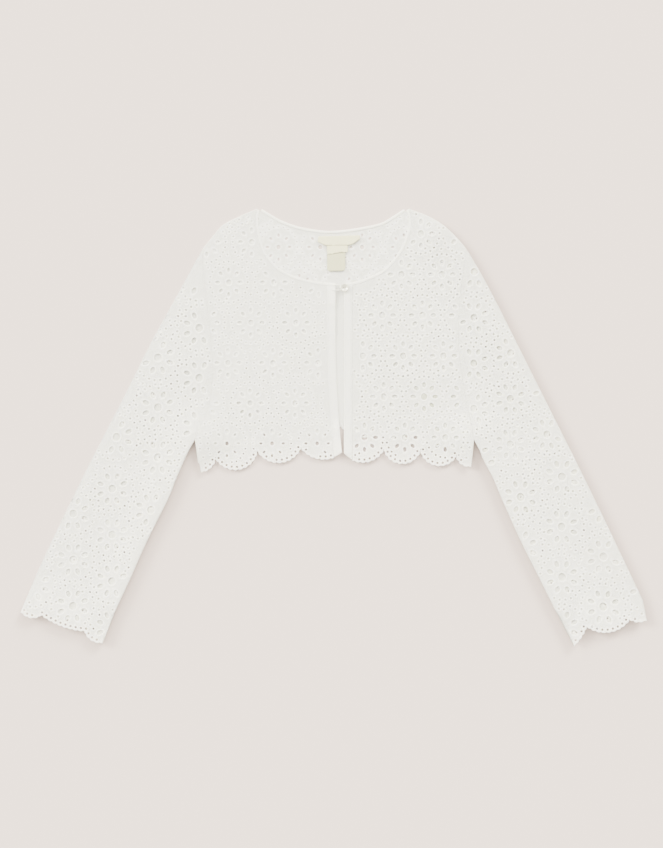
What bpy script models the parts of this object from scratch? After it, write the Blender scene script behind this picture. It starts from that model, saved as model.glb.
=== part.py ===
"""
Child's cropped cardigan in off-white eyelet cloth, laid flat with its front facing up.

The garment lies in two layers. The back and the undersides of the sleeves rest on the ground, and
the two fronts and the tops of the sleeves lie on them. Every cut piece of cloth is a thin closed
wall between an underside and an upper side, with the larger eyelets cut right through it.

Lengths are in millimetres until a mesh is made. +X points to the wearer's left, +Y to the neck and
+Z up. "Left" and "right" are the wearer's.
"""
import math

import bpy
import numpy as np
from mathutils import Vector
from mathutils.geometry import delaunay_2d_cdt

MM = 0.001


def columns(names, rows):
    """A short table: one array for each named column."""
    return dict(zip(names.split(), np.array(rows, float).T))


# Cloth and trims
CLOTH_WALL = 1.0
BOUND_WALL = 1.5
LABEL_WALL = 1.0
SEAM_GAP = 0.3
BINDING_WIDTH = 3.0
BAND_WIDTH = 9.5
CURVE_STEP = 13.0
GRID_STEP = 24.0
GRID_EDGE_CLEARANCE = 9.6
GRID_HOLE_CLEARANCE = 4.8
RUN_ON = 12.0
CLOSEST_CORNERS = 0.2
SAME_POINT = 1e-6
TINY = 1e-9

# How the upper layer stands off the lower one
LOFT = 2.0
LOFT_REACH = 17.0

# Scalloped edges
ARC_STEPS = 7
UNDER_CUFF_SETBACK = 5.0

# Flowers: eight petals round a centre, as shares of the size of a flower
PETALS = 8
RING_SHARE = 0.295
CENTRE_SHARE = 0.081
PETAL_WIDE_SHARE = 0.043
PETAL_LONG_SHARE = 0.059
CENTRE_SIDES = 8
PETAL_SIDES = 6
EYELET_MARGIN = 1.6
LATTICE_STEPS = 14

# Button, turned in pearl on a short thread stem
BUTTON_PLACE = (11.8, 159.4)
BUTTON_RADIUS = 5.0
BUTTON_STEM_RADIUS = 1.2
BUTTON_STEM = 1.5
BUTTON_SEGMENTS = 24
# Its profile from the stem to the middle of its face: share of the radius, height over the stem
BUTTON_PROFILE = columns("radius height", [
    (0.88, 0.0),
    (1.00, 0.6),
    (0.97, 1.4),
    (0.84, 1.8),
    (0.66, 1.4),
    (0.00, 1.2),
])

# Thread loop
LOOP_RADIUS = 0.5
LOOP_BEND_DEGREES = 30
# Its upper half from the band to the button, measured from the button's height; the lower half
# mirrors it
LOOP_HALF = columns("x above", [
    (-1.8, 2.6),
    (3.0, 2.8),
    (7.5, 2.3),
])


# Outer edge of the garment, from the shoulder point at the neck down to the cuff
OUTER_EDGE = columns("y right left", [
    (251.5, -85.4, 82.5),
    (242.0, -108.4, 106.7),
    (231.6, -129.1, 123.9),
    (217.8, -141.7, 138.9),
    (202.9, -153.2, 151.5),
    (179.9, -165.9, 165.3),
    (145.4, -184.3, 183.7),
    (99.4, -209.6, 206.7),
    (30.4, -244.1, 241.2),
    (-61.6, -291.2, 287.2),
    (-153.6, -335.5, 331.5),
    (-199.6, -354.6, 354.0),
])

# Inner edge of the sleeves, from the underarm down to the cuff
INNER_EDGE = columns("y right left", [
    (-15.6, -159.6, 160.1),
    (-27.1, -167.6, 167.0),
    (-38.6, -173.9, 172.2),
    (-61.6, -184.3, 184.4),
    (-84.6, -193.5, 194.1),
    (-130.6, -216.5, 214.8),
    (-176.6, -237.2, 237.8),
    (-211.1, -254.4, 254.2),
])

# Armhole seam, from the outer edge down to the underarm
ARMHOLE = columns("y right left", [
    (202.9, -153.2, 151.5),
    (179.9, -150.9, 148.6),
    (145.4, -146.9, 144.0),
    (99.4, -141.7, 142.9),
    (64.9, -139.4, 145.8),
    (30.4, -142.9, 151.5),
    (7.4, -149.8, 156.1),
    (-15.6, -159.6, 160.1),
])

# Front neckline, from the shoulder point down to the front edge
NECKLINE = columns("y right left", [
    (251.5, -85.4, 82.5),
    (242.0, -87.0, 85.0),
    (231.6, -87.2, 85.4),
    (222.4, -85.8, 83.9),
    (208.6, -82.5, 78.8),
    (197.7, -77.3, 72.6),
    (187.3, -69.3, 64.2),
    (178.7, -58.9, 54.6),
    (171.2, -41.7, 39.2),
    (166.1, -18.7, 24.8),
    (164.4, 1.4, 11.2),
])

# Neck edge of the back, from shoulder point to shoulder point
BACK_NECK = columns("x y", [
    (-85.4, 251.5),
    (-74.5, 244.5),
    (-60.0, 236.5),
    (-39.4, 229.3),
    (-16.4, 225.5),
    (0.0, 224.8),
    (26.2, 227.9),
    (52.6, 233.5),
    (68.6, 242.3),
    (82.5, 251.5),
])

# Front edges of the two fronts, from the neck to the hem
FRONT_EDGE = columns("y right left", [
    (164.4, 1.4, 11.2),
    (99.4, 1.4, 11.2),
    (53.4, 2.6, 11.2),
    (2.8, 4.9, 11.2),
    (-29.7, 7.9, 11.2),
])

# Scalloped edges: the notches, and how far the scallop after each one hangs below its chord
HEM_RIGHT = columns("x y drop", [
    (-153.0, -51.9, 4.6),
    (-136.7, -34.7, 18.4),
    (-88.6, -26.9, 15.9),
    (-38.4, -23.7, 10.5),
    (7.9, -29.7, 0.0),
])
HEM_LEFT = columns("x y drop", [
    (11.2, -30.6, 12.9),
    (57.2, -25.1, 17.3),
    (99.2, -25.1, 16.1),
    (140.5, -32.2, 4.8),
    (156.9, -45.3, 0.0),
])
HEM_BACK = columns("x y drop", [
    (-156.5, -41.0, 4.6),
    (-122.0, -13.5, 14.5),
    (-80.5, -4.5, 14.5),
    (-36.5, 0.0, 14.5),
    (7.5, 2.8, 14.5),
    (51.0, 0.5, 14.5),
    (94.0, -4.5, 14.5),
    (129.5, -13.5, 4.6),
    (158.0, -41.0, 0.0),
])
CUFF_RIGHT = columns("x y drop", [
    (-358.5, -212.3, 5.0),
    (-335.5, -215.5, 4.0),
    (-285.5, -234.1, 4.5),
    (-267.3, -248.5, 0.0),
])
CUFF_LEFT = columns("x y drop", [
    (275.2, -251.5, 1.5),
    (289.1, -228.4, 11.0),
    (338.3, -220.6, 2.6),
    (358.5, -222.5, 0.0),
])

# Underarm creases, where body and sleeve meet in a valley
UNDERARM_CREASE = columns("y right left", [
    (52.2, -134.8, 149.2),
    (21.2, -145.2, 153.8),
    (-15.6, -159.6, 160.1),
])

# Soft folds of the upper layer: a line from one end to the other, its width, and its rise
FOLDS = columns("x1 y1 x2 y2 width rise", [
    (104.0, 34.0, 136.0, 16.0, 16.0, -1.4),
    (133.0, 62.0, 140.0, 10.0, 9.0, 0.8),
    (60.0, 70.0, 96.0, 46.0, 14.0, 0.7),
    (-128.0, 78.0, -96.0, 104.0, 14.0, -0.8),
    (-115.0, 20.0, -70.0, 8.0, 16.0, 0.6),
    (-60.0, 110.0, -20.0, 96.0, 14.0, 0.5),
    (-318.0, -150.0, -338.0, -182.0, 15.0, -1.1),
    (-270.0, -112.0, -232.0, -128.0, 14.0, -0.8),
    (-262.0, -20.0, -205.0, -62.0, 13.0, -0.7),
    (-196.0, 80.0, -160.0, 50.0, 13.0, 0.6),
    (300.0, -70.0, 250.0, -50.0, 14.0, -0.9),
    (322.0, -165.0, 262.0, -150.0, 13.0, -0.7),
    (232.0, 10.0, 190.0, -30.0, 14.0, -0.8),
    (168.0, 120.0, 196.0, 78.0, 12.0, 0.6),
])

# Flower lattices: one flower's centre, the step along a row, the step to the next row, the size
# of a flower, its width as a share of its height, the turn of its petals in degrees, the heights
# between which the lattice runs, and the height below which petals are cut through as well
LATTICE_COLUMNS = "x y row_x row_y next_x next_y size squash turn bottom top petals_below"
LATTICES = {
    "front_right": columns(LATTICE_COLUMNS, [
        (-70.4, 72.9, 51.8, 0.0, 26.4, 46.3, 47.5, 0.92, 0.0, -60.0, 260.0, 50.0),
    ]),
    "front_left": columns(LATTICE_COLUMNS, [
        (34.8, -12.8, 46.3, 0.0, 22.2, 46.8, 46.5, 0.92, 0.0, -60.0, 260.0, 50.0),
    ]),
    "back": columns(LATTICE_COLUMNS, [
        (0.0, 26.0, 48.0, 0.0, 24.0, 46.5, 47.0, 0.92, 0.0, -60.0, 260.0, -60.0),
    ]),
    "sleeve_right": columns(LATTICE_COLUMNS, [
        (-202.7, 21.7, 47.5, -23.3, 0.0, -57.3, 53.0, 0.95, -22.5, -52.0, 260.0, -75.0),
        (-255.2, -71.6, 44.9, -24.2, 0.0, -52.9, 51.0, 0.95, -22.5, -260.0, -52.0, -75.0),
    ]),
    "sleeve_left": columns(LATTICE_COLUMNS, [
        (202.1, 31.7, 41.7, 11.5, 0.0, -52.3, 48.0, 0.95, 22.5, -33.0, 260.0, -75.0),
        (261.3, -115.3, 47.5, 23.3, 0.0, -57.5, 53.0, 0.95, 22.5, -260.0, -33.0, -75.0),
    ]),
}

# Label sewn inside the back neck and the size tab below it, each as its corners
LABEL_CORNERS = columns("x y", [
    (-18.2, 218.3),
    (29.7, 219.5),
    (29.3, 215.2),
    (20.6, 209.1),
    (16.4, 208.6),
    (16.4, 200.8),
    (-9.5, 197.7),
    (-9.5, 208.6),
    (-11.6, 208.5),
    (-18.8, 212.1),
])
SIZE_TAB_CORNERS = columns("x y", [
    (-8.3, 197.2),
    (12.8, 199.8),
    (12.5, 181.0),
    (10.5, 178.9),
    (-6.0, 178.4),
    (-7.9, 180.2),
])


def smooth_curve(x, y):
    """Points about CURVE_STEP apart on the smooth curve through the given points (Catmull-Rom)."""
    points = np.column_stack([x, y])
    first = 2 * points[0] - points[1]
    last = 2 * points[-1] - points[-2]
    knots = np.vstack([first, points, last])
    pieces = []
    for before, start, end, after in zip(knots, knots[1:], knots[2:], knots[3:]):
        count = max(1, round(float(np.linalg.norm(end - start)) / CURVE_STEP))
        t = (np.arange(count) / count)[:, None]
        pieces.append(0.5 * (2 * start + (end - before) * t
                             + (2 * before - 5 * start + 4 * end - after) * t ** 2
                             + (3 * start - before - 3 * end + after) * t ** 3))
    return np.vstack(pieces + [points[-1:]])


def offset_curve(curve, distance, run_on=0.0):
    """The curve moved to the left of its direction by the distance, and run on at both ends."""
    along = np.gradient(curve, axis=0)
    along /= np.linalg.norm(along, axis=1)[:, None]
    moved = curve + distance * np.column_stack([-along[:, 1], along[:, 0]])
    if not run_on:
        return moved
    return np.vstack([moved[0] - run_on * along[0], moved, moved[-1] + run_on * along[-1]])


def scallops(table):
    """Round arcs from notch to notch, each hanging below its chord by its drop."""
    notches = np.column_stack([table["x"], table["y"]])
    points = [notches[:1]]
    for start, end, drop in zip(notches, notches[1:], table["drop"]):
        chord = end - start
        length = float(np.linalg.norm(chord))
        along = chord / length
        below = np.array([along[1], -along[0]])
        radius = (length ** 2 / 4 + drop ** 2) / (2 * drop)
        half_angle = 2 * math.atan(2 * drop / length)
        angle = np.linspace(-half_angle, half_angle, ARC_STEPS + 1)[1:]
        across = length / 2 + radius * np.sin(angle)
        down = radius * np.cos(angle) - (radius - drop)
        points.append(start + across[:, None] * along + down[:, None] * below)
    return np.vstack(points)


def crossing(first, second):
    """Where two curves cross: the segment and the share along it in each, and the point."""
    a, b = first[:-1], first[1:] - first[:-1]
    c, d = second[:-1], second[1:] - second[:-1]
    across = b[:, None, 0] * d[None, :, 1] - b[:, None, 1] * d[None, :, 0]
    across = np.where(np.abs(across) < TINY, np.nan, across)
    gap = c[None, :, :] - a[:, None, :]
    s = (gap[..., 0] * d[None, :, 1] - gap[..., 1] * d[None, :, 0]) / across
    t = (gap[..., 0] * b[:, None, 1] - gap[..., 1] * b[:, None, 0]) / across
    hits = np.argwhere((s >= 0) & (s <= 1) & (t >= 0) & (t <= 1))
    if not len(hits):
        return None
    i, j = hits[-1]
    return int(i), int(j), a[i] + s[i, j] * b[i]


def closed_outline(*curves):
    """One outline from curves in order, each cut off where it crosses the next."""
    curves = [np.array(curve) for curve in curves]
    for index in range(len(curves)):
        other = (index + 1) % len(curves)
        if np.linalg.norm(curves[index][-1] - curves[other][0]) < SAME_POINT:
            continue
        hit = crossing(curves[index], curves[other])
        if hit is not None:
            i, j, point = hit
            curves[index] = np.vstack([curves[index][:i + 1], point])
            curves[other] = np.vstack([point, curves[other][j + 1:]])
    outline = np.vstack(curves)
    apart = np.linalg.norm(outline - np.roll(outline, 1, axis=0), axis=1)
    return outline[apart > CLOSEST_CORNERS]


def inside(points, polygon):
    """Which points lie inside the polygon, by counting the edges to their right."""
    x, y = points[:, 0, None], points[:, 1, None]
    x1, y1 = polygon.T
    x2, y2 = np.roll(polygon, -1, axis=0).T
    rise = np.where(np.abs(y2 - y1) < TINY, TINY, y2 - y1)
    spans = (y1 > y) != (y2 > y)
    right = x < x1 + (y - y1) / rise * (x2 - x1)
    return np.count_nonzero(spans & right, axis=1) % 2 == 1


def distance_to(points, line, closed=False):
    """Distance from each point to the nearest place on a line of straight stretches."""
    start = line if closed else line[:-1]
    end = np.roll(line, -1, axis=0) if closed else line[1:]
    along = end - start
    length2 = np.maximum((along ** 2).sum(1), TINY)
    from_start = points[:, None, :] - start[None]
    share = np.clip((from_start * along[None]).sum(2) / length2, 0, 1)
    return np.linalg.norm(from_start - share[..., None] * along[None], axis=2).min(1)


def side_curve(table, side):
    """The smooth curve of one of the tables that give a right and a left side."""
    return smooth_curve(table[side], table["y"])


def low_lines():
    """The lines along which the upper layer comes down onto the lower one."""
    lines = [scallops(HEM_RIGHT), scallops(HEM_LEFT)]
    for side, cuff in (("right", CUFF_RIGHT), ("left", CUFF_LEFT)):
        lines.append(side_curve(OUTER_EDGE, side))
        lines.append(side_curve(INNER_EDGE, side))
        lines.append(side_curve(NECKLINE, side))
        lines.append(side_curve(FRONT_EDGE, side))
        lines.append(side_curve(UNDERARM_CREASE, side))
        lines.append(scallops(cuff))
    return lines


LOW_LINES = low_lines()


def upper_underside(points):
    """Height of the underside of the upper layer: close at its edges, lofted between them."""
    edge = np.min([distance_to(points, line) for line in LOW_LINES], axis=0)
    loft = LOFT * (1 - np.exp(-(edge / LOFT_REACH) ** 2))
    for x1, y1, x2, y2, width, rise in zip(*FOLDS.values()):
        away = distance_to(points, np.array([(x1, y1), (x2, y2)]))
        loft += rise * np.exp(-(away / width) ** 2) * (1 - np.exp(-(edge / LOFT_REACH) ** 2))
    return CLOTH_WALL + SEAM_GAP + np.maximum(loft, 0)


def level(height):
    """A flat side at one height."""
    return lambda points: np.full(len(points), height)


def thicker(underside, wall):
    """An upper side that follows an underside, one wall above it."""
    return lambda points: underside(points) + wall


def turned_by(points, turn):
    """Flat points turned anticlockwise about the origin, in radians."""
    cosine, sine = math.cos(turn), math.sin(turn)
    return points @ np.array([[cosine, sine], [-sine, cosine]])


def ellipse(centre, wide, long, turn, sides):
    """Corners of an ellipse whose long half axis is turned anticlockwise from +Y, in radians."""
    angle = 2 * math.pi * (np.arange(sides) + 0.5) / sides
    corners = np.column_stack([wide * np.cos(angle), long * np.sin(angle)])
    return centre + turned_by(corners, turn)


def flower_petals(centre, size, squash, turn):
    """The petal eyelets of one flower, evenly round its centre and pointing away from it."""
    petals = []
    for lean in 2 * math.pi * np.arange(PETALS) / PETALS:
        away = RING_SHARE * size * np.array([-math.sin(lean) * squash, math.cos(lean)])
        petals.append(ellipse(centre + turned_by(away, turn), PETAL_WIDE_SHARE * size,
                              PETAL_LONG_SHARE * size, turn + lean, PETAL_SIDES))
    return petals


def flower_eyelets(outline, pattern, with_petals=True):
    """Eyelets of a flower lattice that fit inside an outline: all centres, and the low petals."""
    steps = np.arange(-LATTICE_STEPS, LATTICE_STEPS + 1)
    eyelets = []
    for (x, y, row_x, row_y, next_x, next_y, size, squash, turn, bottom, top,
         petals_below) in zip(*LATTICES[pattern].values()):
        turn = math.radians(turn)
        for row in steps:
            for place in steps:
                centre = np.array([x + place * row_x + row * next_x,
                                   y + place * row_y + row * next_y])
                if not bottom < centre[1] <= top:
                    continue
                eyelets.append(ellipse(centre, CENTRE_SHARE * size * squash, CENTRE_SHARE * size,
                                       turn, CENTRE_SIDES))
                if with_petals and centre[1] <= petals_below:
                    eyelets += flower_petals(centre, size, squash, turn)
    low, high = outline.min(0), outline.max(0)
    near = [hole for hole in eyelets if np.all(hole.mean(0) > low) and np.all(hole.mean(0) < high)]
    return [hole for hole in near
            if inside(hole, outline).all()
            and distance_to(hole, outline, closed=True).min() > EYELET_MARGIN]


def free_points(outline, holes):
    """Points of a brick grid inside an outline, clear of its edge and its holes."""
    low, high = outline.min(0), outline.max(0)
    rows = []
    for index, y in enumerate(np.arange(low[1], high[1], GRID_STEP)):
        x = np.arange(low[0] + (index % 2) * GRID_STEP / 2, high[0], GRID_STEP)
        rows.append(np.column_stack([x, np.full(len(x), y)]))
    points = np.vstack(rows)
    points = points[inside(points, outline)]
    points = points[distance_to(points, outline, closed=True) > GRID_EDGE_CLEARANCE]
    for hole in holes:
        reach = np.linalg.norm(hole - hole.mean(0), axis=1).max() + GRID_HOLE_CLEARANCE
        points = points[np.linalg.norm(points - hole.mean(0), axis=1) > reach]
    return points


def material(name, colour, roughness):
    """A Principled material with a plain colour."""
    made = bpy.data.materials.new(name)
    made.use_nodes = True
    shader = made.node_tree.nodes["Principled BSDF"]
    shader.inputs["Base Color"].default_value = (*colour, 1.0)
    shader.inputs["Roughness"].default_value = roughness
    made.diffuse_color = (*colour, 1.0)
    return made


def new_object(name, vertices, faces, finish):
    """An object in metres from vertices in millimetres."""
    mesh = bpy.data.meshes.new(name)
    mesh.from_pydata((np.asarray(vertices) * MM).tolist(), [], faces)
    mesh.materials.append(finish)
    mesh.update()
    made = bpy.data.objects.new(name, mesh)
    bpy.context.collection.objects.link(made)
    return made


def wall(name, outline, holes, underside, upper_side, finish):
    """A closed wall over a flat outline with holes, between two height functions."""
    loops = [outline] + holes
    corners = np.vstack(loops + [free_points(outline, holes)])
    edges, start = [], 0
    for loop in loops:
        count = len(loop)
        edges += [(start + i, start + (i + 1) % count) for i in range(count)]
        start += count
    flat, _, triangles = delaunay_2d_cdt([Vector(p) for p in corners.tolist()], edges, [], 0,
                                         SAME_POINT, False)[:3]
    flat = np.array([tuple(point) for point in flat])
    triangles = np.array([tuple(face) for face in triangles])
    middle = flat[triangles].mean(1)
    kept = inside(middle, outline)
    for hole in holes:
        kept &= ~inside(middle, hole)
    triangles = triangles[kept]
    a, b, c = flat[triangles[:, 0]], flat[triangles[:, 1]], flat[triangles[:, 2]]
    clockwise = ((b - a)[:, 0] * (c - a)[:, 1] - (b - a)[:, 1] * (c - a)[:, 0]) < 0
    triangles[clockwise] = triangles[clockwise][:, ::-1]
    used, triangles = np.unique(triangles, return_inverse=True)
    triangles = triangles.reshape(-1, 3)
    flat = flat[used]
    count = len(flat)
    top = np.column_stack([flat, upper_side(flat)])
    bottom = np.column_stack([flat, underside(flat)])
    faces = triangles.tolist() + (triangles[:, ::-1] + count).tolist()
    sides = {(int(t[i]), int(t[(i + 1) % 3])) for t in triangles for i in range(3)}
    rim = sorted(side for side in sides if side[::-1] not in sides)
    for start, end in rim:
        faces.append((end, start, start + count))
        faces.append((end, start + count, end + count))
    return new_object(name, np.vstack([top, bottom]), faces, finish)


def shoulder(side):
    """The outer edge from the shoulder point down to the armhole."""
    whole = side_curve(OUTER_EDGE, side)
    return whole[whole[:, 1] > ARMHOLE["y"][0] - SAME_POINT]


def inward_offset(table, side, distance, run_on=0.0):
    """A side's curve, running down, moved towards the middle of the garment."""
    sign = 1 if side == "right" else -1
    return offset_curve(side_curve(table, side), sign * distance, run_on)


def hem_from_side(side):
    """The hem of a front, from the side edge to the front edge."""
    return scallops(HEM_RIGHT) if side == "right" else scallops(HEM_LEFT)[::-1]


def front_outline(side):
    """The cloth of a front, inside its band and its binding."""
    return closed_outline(
        shoulder(side),
        inward_offset(ARMHOLE, side, SEAM_GAP / 2),
        hem_from_side(side),
        inward_offset(FRONT_EDGE, side, -(BAND_WIDTH + SEAM_GAP), RUN_ON)[::-1],
        inward_offset(NECKLINE, side, -(BINDING_WIDTH + SEAM_GAP), RUN_ON)[::-1],
    )


def front_binding_outline(side):
    """The binding along the front neckline, from the shoulder to the front edge."""
    return closed_outline(
        side_curve(NECKLINE, side),
        side_curve(FRONT_EDGE, side),
        inward_offset(NECKLINE, side, -BINDING_WIDTH, RUN_ON)[::-1],
        shoulder(side)[::-1],
    )


def band_outline(side):
    """The band along the front edge, from the binding to the hem."""
    return closed_outline(
        side_curve(FRONT_EDGE, side),
        hem_from_side(side)[::-1],
        inward_offset(FRONT_EDGE, side, -BAND_WIDTH, RUN_ON)[::-1],
        inward_offset(NECKLINE, side, -(BINDING_WIDTH + SEAM_GAP), RUN_ON),
    )


def back_neck():
    """The neck edge of the back, from the right shoulder point to the left."""
    return smooth_curve(BACK_NECK["x"], BACK_NECK["y"])


def back_outline():
    """The back, below its neck binding."""
    return closed_outline(
        offset_curve(back_neck(), -(BINDING_WIDTH + SEAM_GAP), RUN_ON),
        shoulder("left"),
        inward_offset(ARMHOLE, "left", SEAM_GAP / 2),
        scallops(HEM_BACK)[::-1],
        inward_offset(ARMHOLE, "right", SEAM_GAP / 2)[::-1],
        shoulder("right")[::-1],
    )


def back_binding_outline():
    """The binding along the back neck, between the front necklines."""
    return closed_outline(
        back_neck(),
        inward_offset(NECKLINE, "left", SEAM_GAP, RUN_ON),
        offset_curve(back_neck(), -BINDING_WIDTH, RUN_ON)[::-1],
        inward_offset(NECKLINE, "right", SEAM_GAP, RUN_ON)[::-1],
    )


def sleeve_outline(side, cuff_setback=0.0):
    """One layer of a sleeve, from the armhole to the cuff."""
    outer = side_curve(OUTER_EDGE, side)
    outer = outer[outer[:, 1] < ARMHOLE["y"][0] + SAME_POINT]
    cuff = scallops(CUFF_RIGHT) if side == "right" else scallops(CUFF_LEFT)[::-1]
    inner = side_curve(INNER_EDGE, side)
    up_sleeve = (outer[0] - outer[-1]) / np.linalg.norm(outer[0] - outer[-1])
    return closed_outline(
        outer,
        cuff + cuff_setback * up_sleeve,
        inner[::-1],
        inward_offset(ARMHOLE, side, -SEAM_GAP / 2)[::-1],
    )


def turned(name, profile, centre, segments, finish):
    """A solid turned round an upright axis, from the radii and heights of its profile."""
    rings = [(radius, height) for radius, height in profile if radius > 0]
    angles = 2 * math.pi * np.arange(segments) / segments
    vertices = [(centre[0] + radius * math.cos(angle), centre[1] + radius * math.sin(angle), height)
                for radius, height in rings for angle in angles]
    low, high = len(vertices), len(vertices) + 1
    vertices += [(*centre, profile[0][1]), (*centre, profile[-1][1])]
    faces = []
    for ring in range(len(rings) - 1):
        for i in range(segments):
            j = (i + 1) % segments
            a, b = ring * segments + i, ring * segments + j
            faces.append((a, b, b + segments, a + segments))
    top = (len(rings) - 1) * segments
    for i in range(segments):
        j = (i + 1) % segments
        faces.append((low, j, i))
        faces.append((high, top + i, top + j))
    return new_object(name, vertices, faces, finish)


def thread(name, path, radius, finish):
    """A round thread along a smooth path through the given points."""
    curve = bpy.data.curves.new(name, "CURVE")
    curve.dimensions = "3D"
    curve.bevel_depth = radius * MM
    curve.bevel_resolution = 2
    curve.use_fill_caps = True
    spline = curve.splines.new("POLY")
    spline.points.add(len(path) - 1)
    for point, place in zip(spline.points, path):
        point.co = (*(np.array(place) * MM), 1.0)
    curve.materials.append(finish)
    made = bpy.data.objects.new(name, curve)
    bpy.context.collection.objects.link(made)
    return made


def height_at(place, wall_thickness):
    """Height of the upper side of the upper layer at one place."""
    return float(upper_underside(np.array([place]))[0]) + wall_thickness


def make_body(cloth, trim):
    """Back, fronts, bindings and front bands."""
    outline = back_outline()
    wall("back", outline, flower_eyelets(outline, "back"), level(0), level(CLOTH_WALL), cloth)
    wall("neck_binding_back", back_binding_outline(), [], level(0), level(BOUND_WALL), trim)
    for side in ("right", "left"):
        outline = front_outline(side)
        wall("front_" + side, outline, flower_eyelets(outline, "front_" + side),
             upper_underside, thicker(upper_underside, CLOTH_WALL), cloth)
        bound = thicker(upper_underside, BOUND_WALL)
        wall("neck_binding_" + side, front_binding_outline(side), [], upper_underside, bound, trim)
        wall("front_band_" + side, band_outline(side), [], upper_underside, bound, trim)


def make_sleeves(cloth):
    """The upper and under layer of each sleeve."""
    for side in ("right", "left"):
        outline = sleeve_outline(side)
        wall(f"sleeve_{side}_upper", outline, flower_eyelets(outline, "sleeve_" + side),
             upper_underside, thicker(upper_underside, CLOTH_WALL), cloth)
        outline = sleeve_outline(side, UNDER_CUFF_SETBACK)
        centres = flower_eyelets(outline, "sleeve_" + side, with_petals=False)
        wall(f"sleeve_{side}_under", outline, centres, level(0), level(CLOTH_WALL), cloth)


def make_labels(ribbon):
    """The label and the size tab on the inside of the back, both bare."""
    low = CLOTH_WALL + SEAM_GAP
    for name, table in (("neck_label", LABEL_CORNERS), ("size_tab", SIZE_TAB_CORNERS)):
        corners = np.column_stack([table["x"], table["y"]])
        wall(name, corners, [], level(low), level(low + LABEL_WALL), ribbon)


def make_button(pearl):
    """A round pearl button with a raised rim, on the left front band."""
    foot = height_at(BUTTON_PLACE, BOUND_WALL) + SEAM_GAP
    head = foot + BUTTON_STEM
    profile = [(0.0, foot), (BUTTON_STEM_RADIUS, foot), (BUTTON_STEM_RADIUS, head)]
    profile += [(share * BUTTON_RADIUS, head + height)
                for share, height in zip(*BUTTON_PROFILE.values())]
    turned("button", profile, BUTTON_PLACE, BUTTON_SEGMENTS, pearl)


def make_button_loop(trim):
    """The thread loop from the right front band round the button's stem."""
    x, y = BUTTON_PLACE
    around = BUTTON_STEM_RADIUS + SEAM_GAP + LOOP_RADIUS
    height = height_at((LOOP_HALF["x"][0], y), BOUND_WALL) + SEAM_GAP + LOOP_RADIUS
    half = list(zip(*LOOP_HALF.values()))
    bend = np.radians(np.arange(90, -91, -LOOP_BEND_DEGREES))
    path = [(across, y + above, height) for across, above in half]
    path += [(x + around * math.cos(a), y + around * math.sin(a), height) for a in bend]
    path += [(across, y - above, height) for across, above in reversed(half)]
    thread("button_loop", path, LOOP_RADIUS, trim)


def main():
    for thing in list(bpy.data.objects):
        bpy.data.objects.remove(thing, do_unlink=True)
    cloth = material("eyelet_cloth", (0.84, 0.83, 0.79), 0.9)
    trim = material("plain_trim", (0.87, 0.86, 0.83), 0.85)
    ribbon = material("label_ribbon", (0.76, 0.73, 0.64), 0.6)
    pearl = material("pearl", (0.88, 0.87, 0.84), 0.25)
    make_body(cloth, trim)
    make_sleeves(cloth)
    make_labels(ribbon)
    make_button(pearl)
    make_button_loop(trim)


main()
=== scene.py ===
"""
The looks of a child's cropped eyelet cardigan, laid flat with its front up, seen from above.

Lengths are in millimetres until a mesh is made. +X points to the wearer's left, +Y to the neck and
+Z up. "Left" and "right" are the wearer's. Every cloth panel is one face over a flat pattern
piece, lifted by height functions, with a second face behind it along its normals.
"""

import math

import bmesh
import bpy
import numpy as np
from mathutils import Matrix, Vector
from mathutils.geometry import delaunay_2d_cdt


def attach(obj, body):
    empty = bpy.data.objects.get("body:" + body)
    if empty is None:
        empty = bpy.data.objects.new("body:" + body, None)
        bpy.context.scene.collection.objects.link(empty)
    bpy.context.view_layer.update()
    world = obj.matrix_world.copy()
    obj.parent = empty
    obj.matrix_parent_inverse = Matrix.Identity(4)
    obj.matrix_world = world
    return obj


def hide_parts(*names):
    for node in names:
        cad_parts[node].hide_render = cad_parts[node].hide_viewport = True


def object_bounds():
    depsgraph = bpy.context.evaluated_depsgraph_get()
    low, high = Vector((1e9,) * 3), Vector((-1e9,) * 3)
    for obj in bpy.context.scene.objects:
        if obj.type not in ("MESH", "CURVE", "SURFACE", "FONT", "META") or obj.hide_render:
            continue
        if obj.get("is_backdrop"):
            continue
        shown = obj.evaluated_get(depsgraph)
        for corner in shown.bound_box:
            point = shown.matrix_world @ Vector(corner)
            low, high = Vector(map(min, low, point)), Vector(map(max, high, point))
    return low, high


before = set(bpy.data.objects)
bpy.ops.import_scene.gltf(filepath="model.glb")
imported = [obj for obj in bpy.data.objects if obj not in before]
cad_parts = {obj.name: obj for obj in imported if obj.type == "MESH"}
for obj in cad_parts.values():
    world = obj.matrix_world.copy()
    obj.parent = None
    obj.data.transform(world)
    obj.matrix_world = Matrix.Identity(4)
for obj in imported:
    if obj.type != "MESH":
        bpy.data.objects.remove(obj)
CAD_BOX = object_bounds()

# A millimetre in metres, the least number to divide by, how close two points are the same, and
# the seed of the random draws
MM = 0.001
TINY = 1e-9
SAME_POINT = 1e-6
SEED = 7

# Large arrays are worked out in lots of so many points
LOT = 3000
EYELET_LOT = 1500

# In metres: corners closer than this are welded, and edges shorter than this have no length
WELDED = 1e-7
NO_LENGTH = 1e-8


def columns(names, rows):
    """A short table: one array for each named column."""
    return dict(zip(names.split(), np.array(rows, float).T))


# The photograph's frame: 663 by 848 pixels of 1.15 mm, seen from straight above, and the pixel
# over the object's origin
PIXEL = 1.15
PHOTO_PIXELS = (663, 848)
PHOTO_ORIGIN = (334.25, 426.4)
CAMERA_HEIGHT = 2600.0
CAMERA_REACH = 20000.0
SENSOR = 36.0

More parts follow.
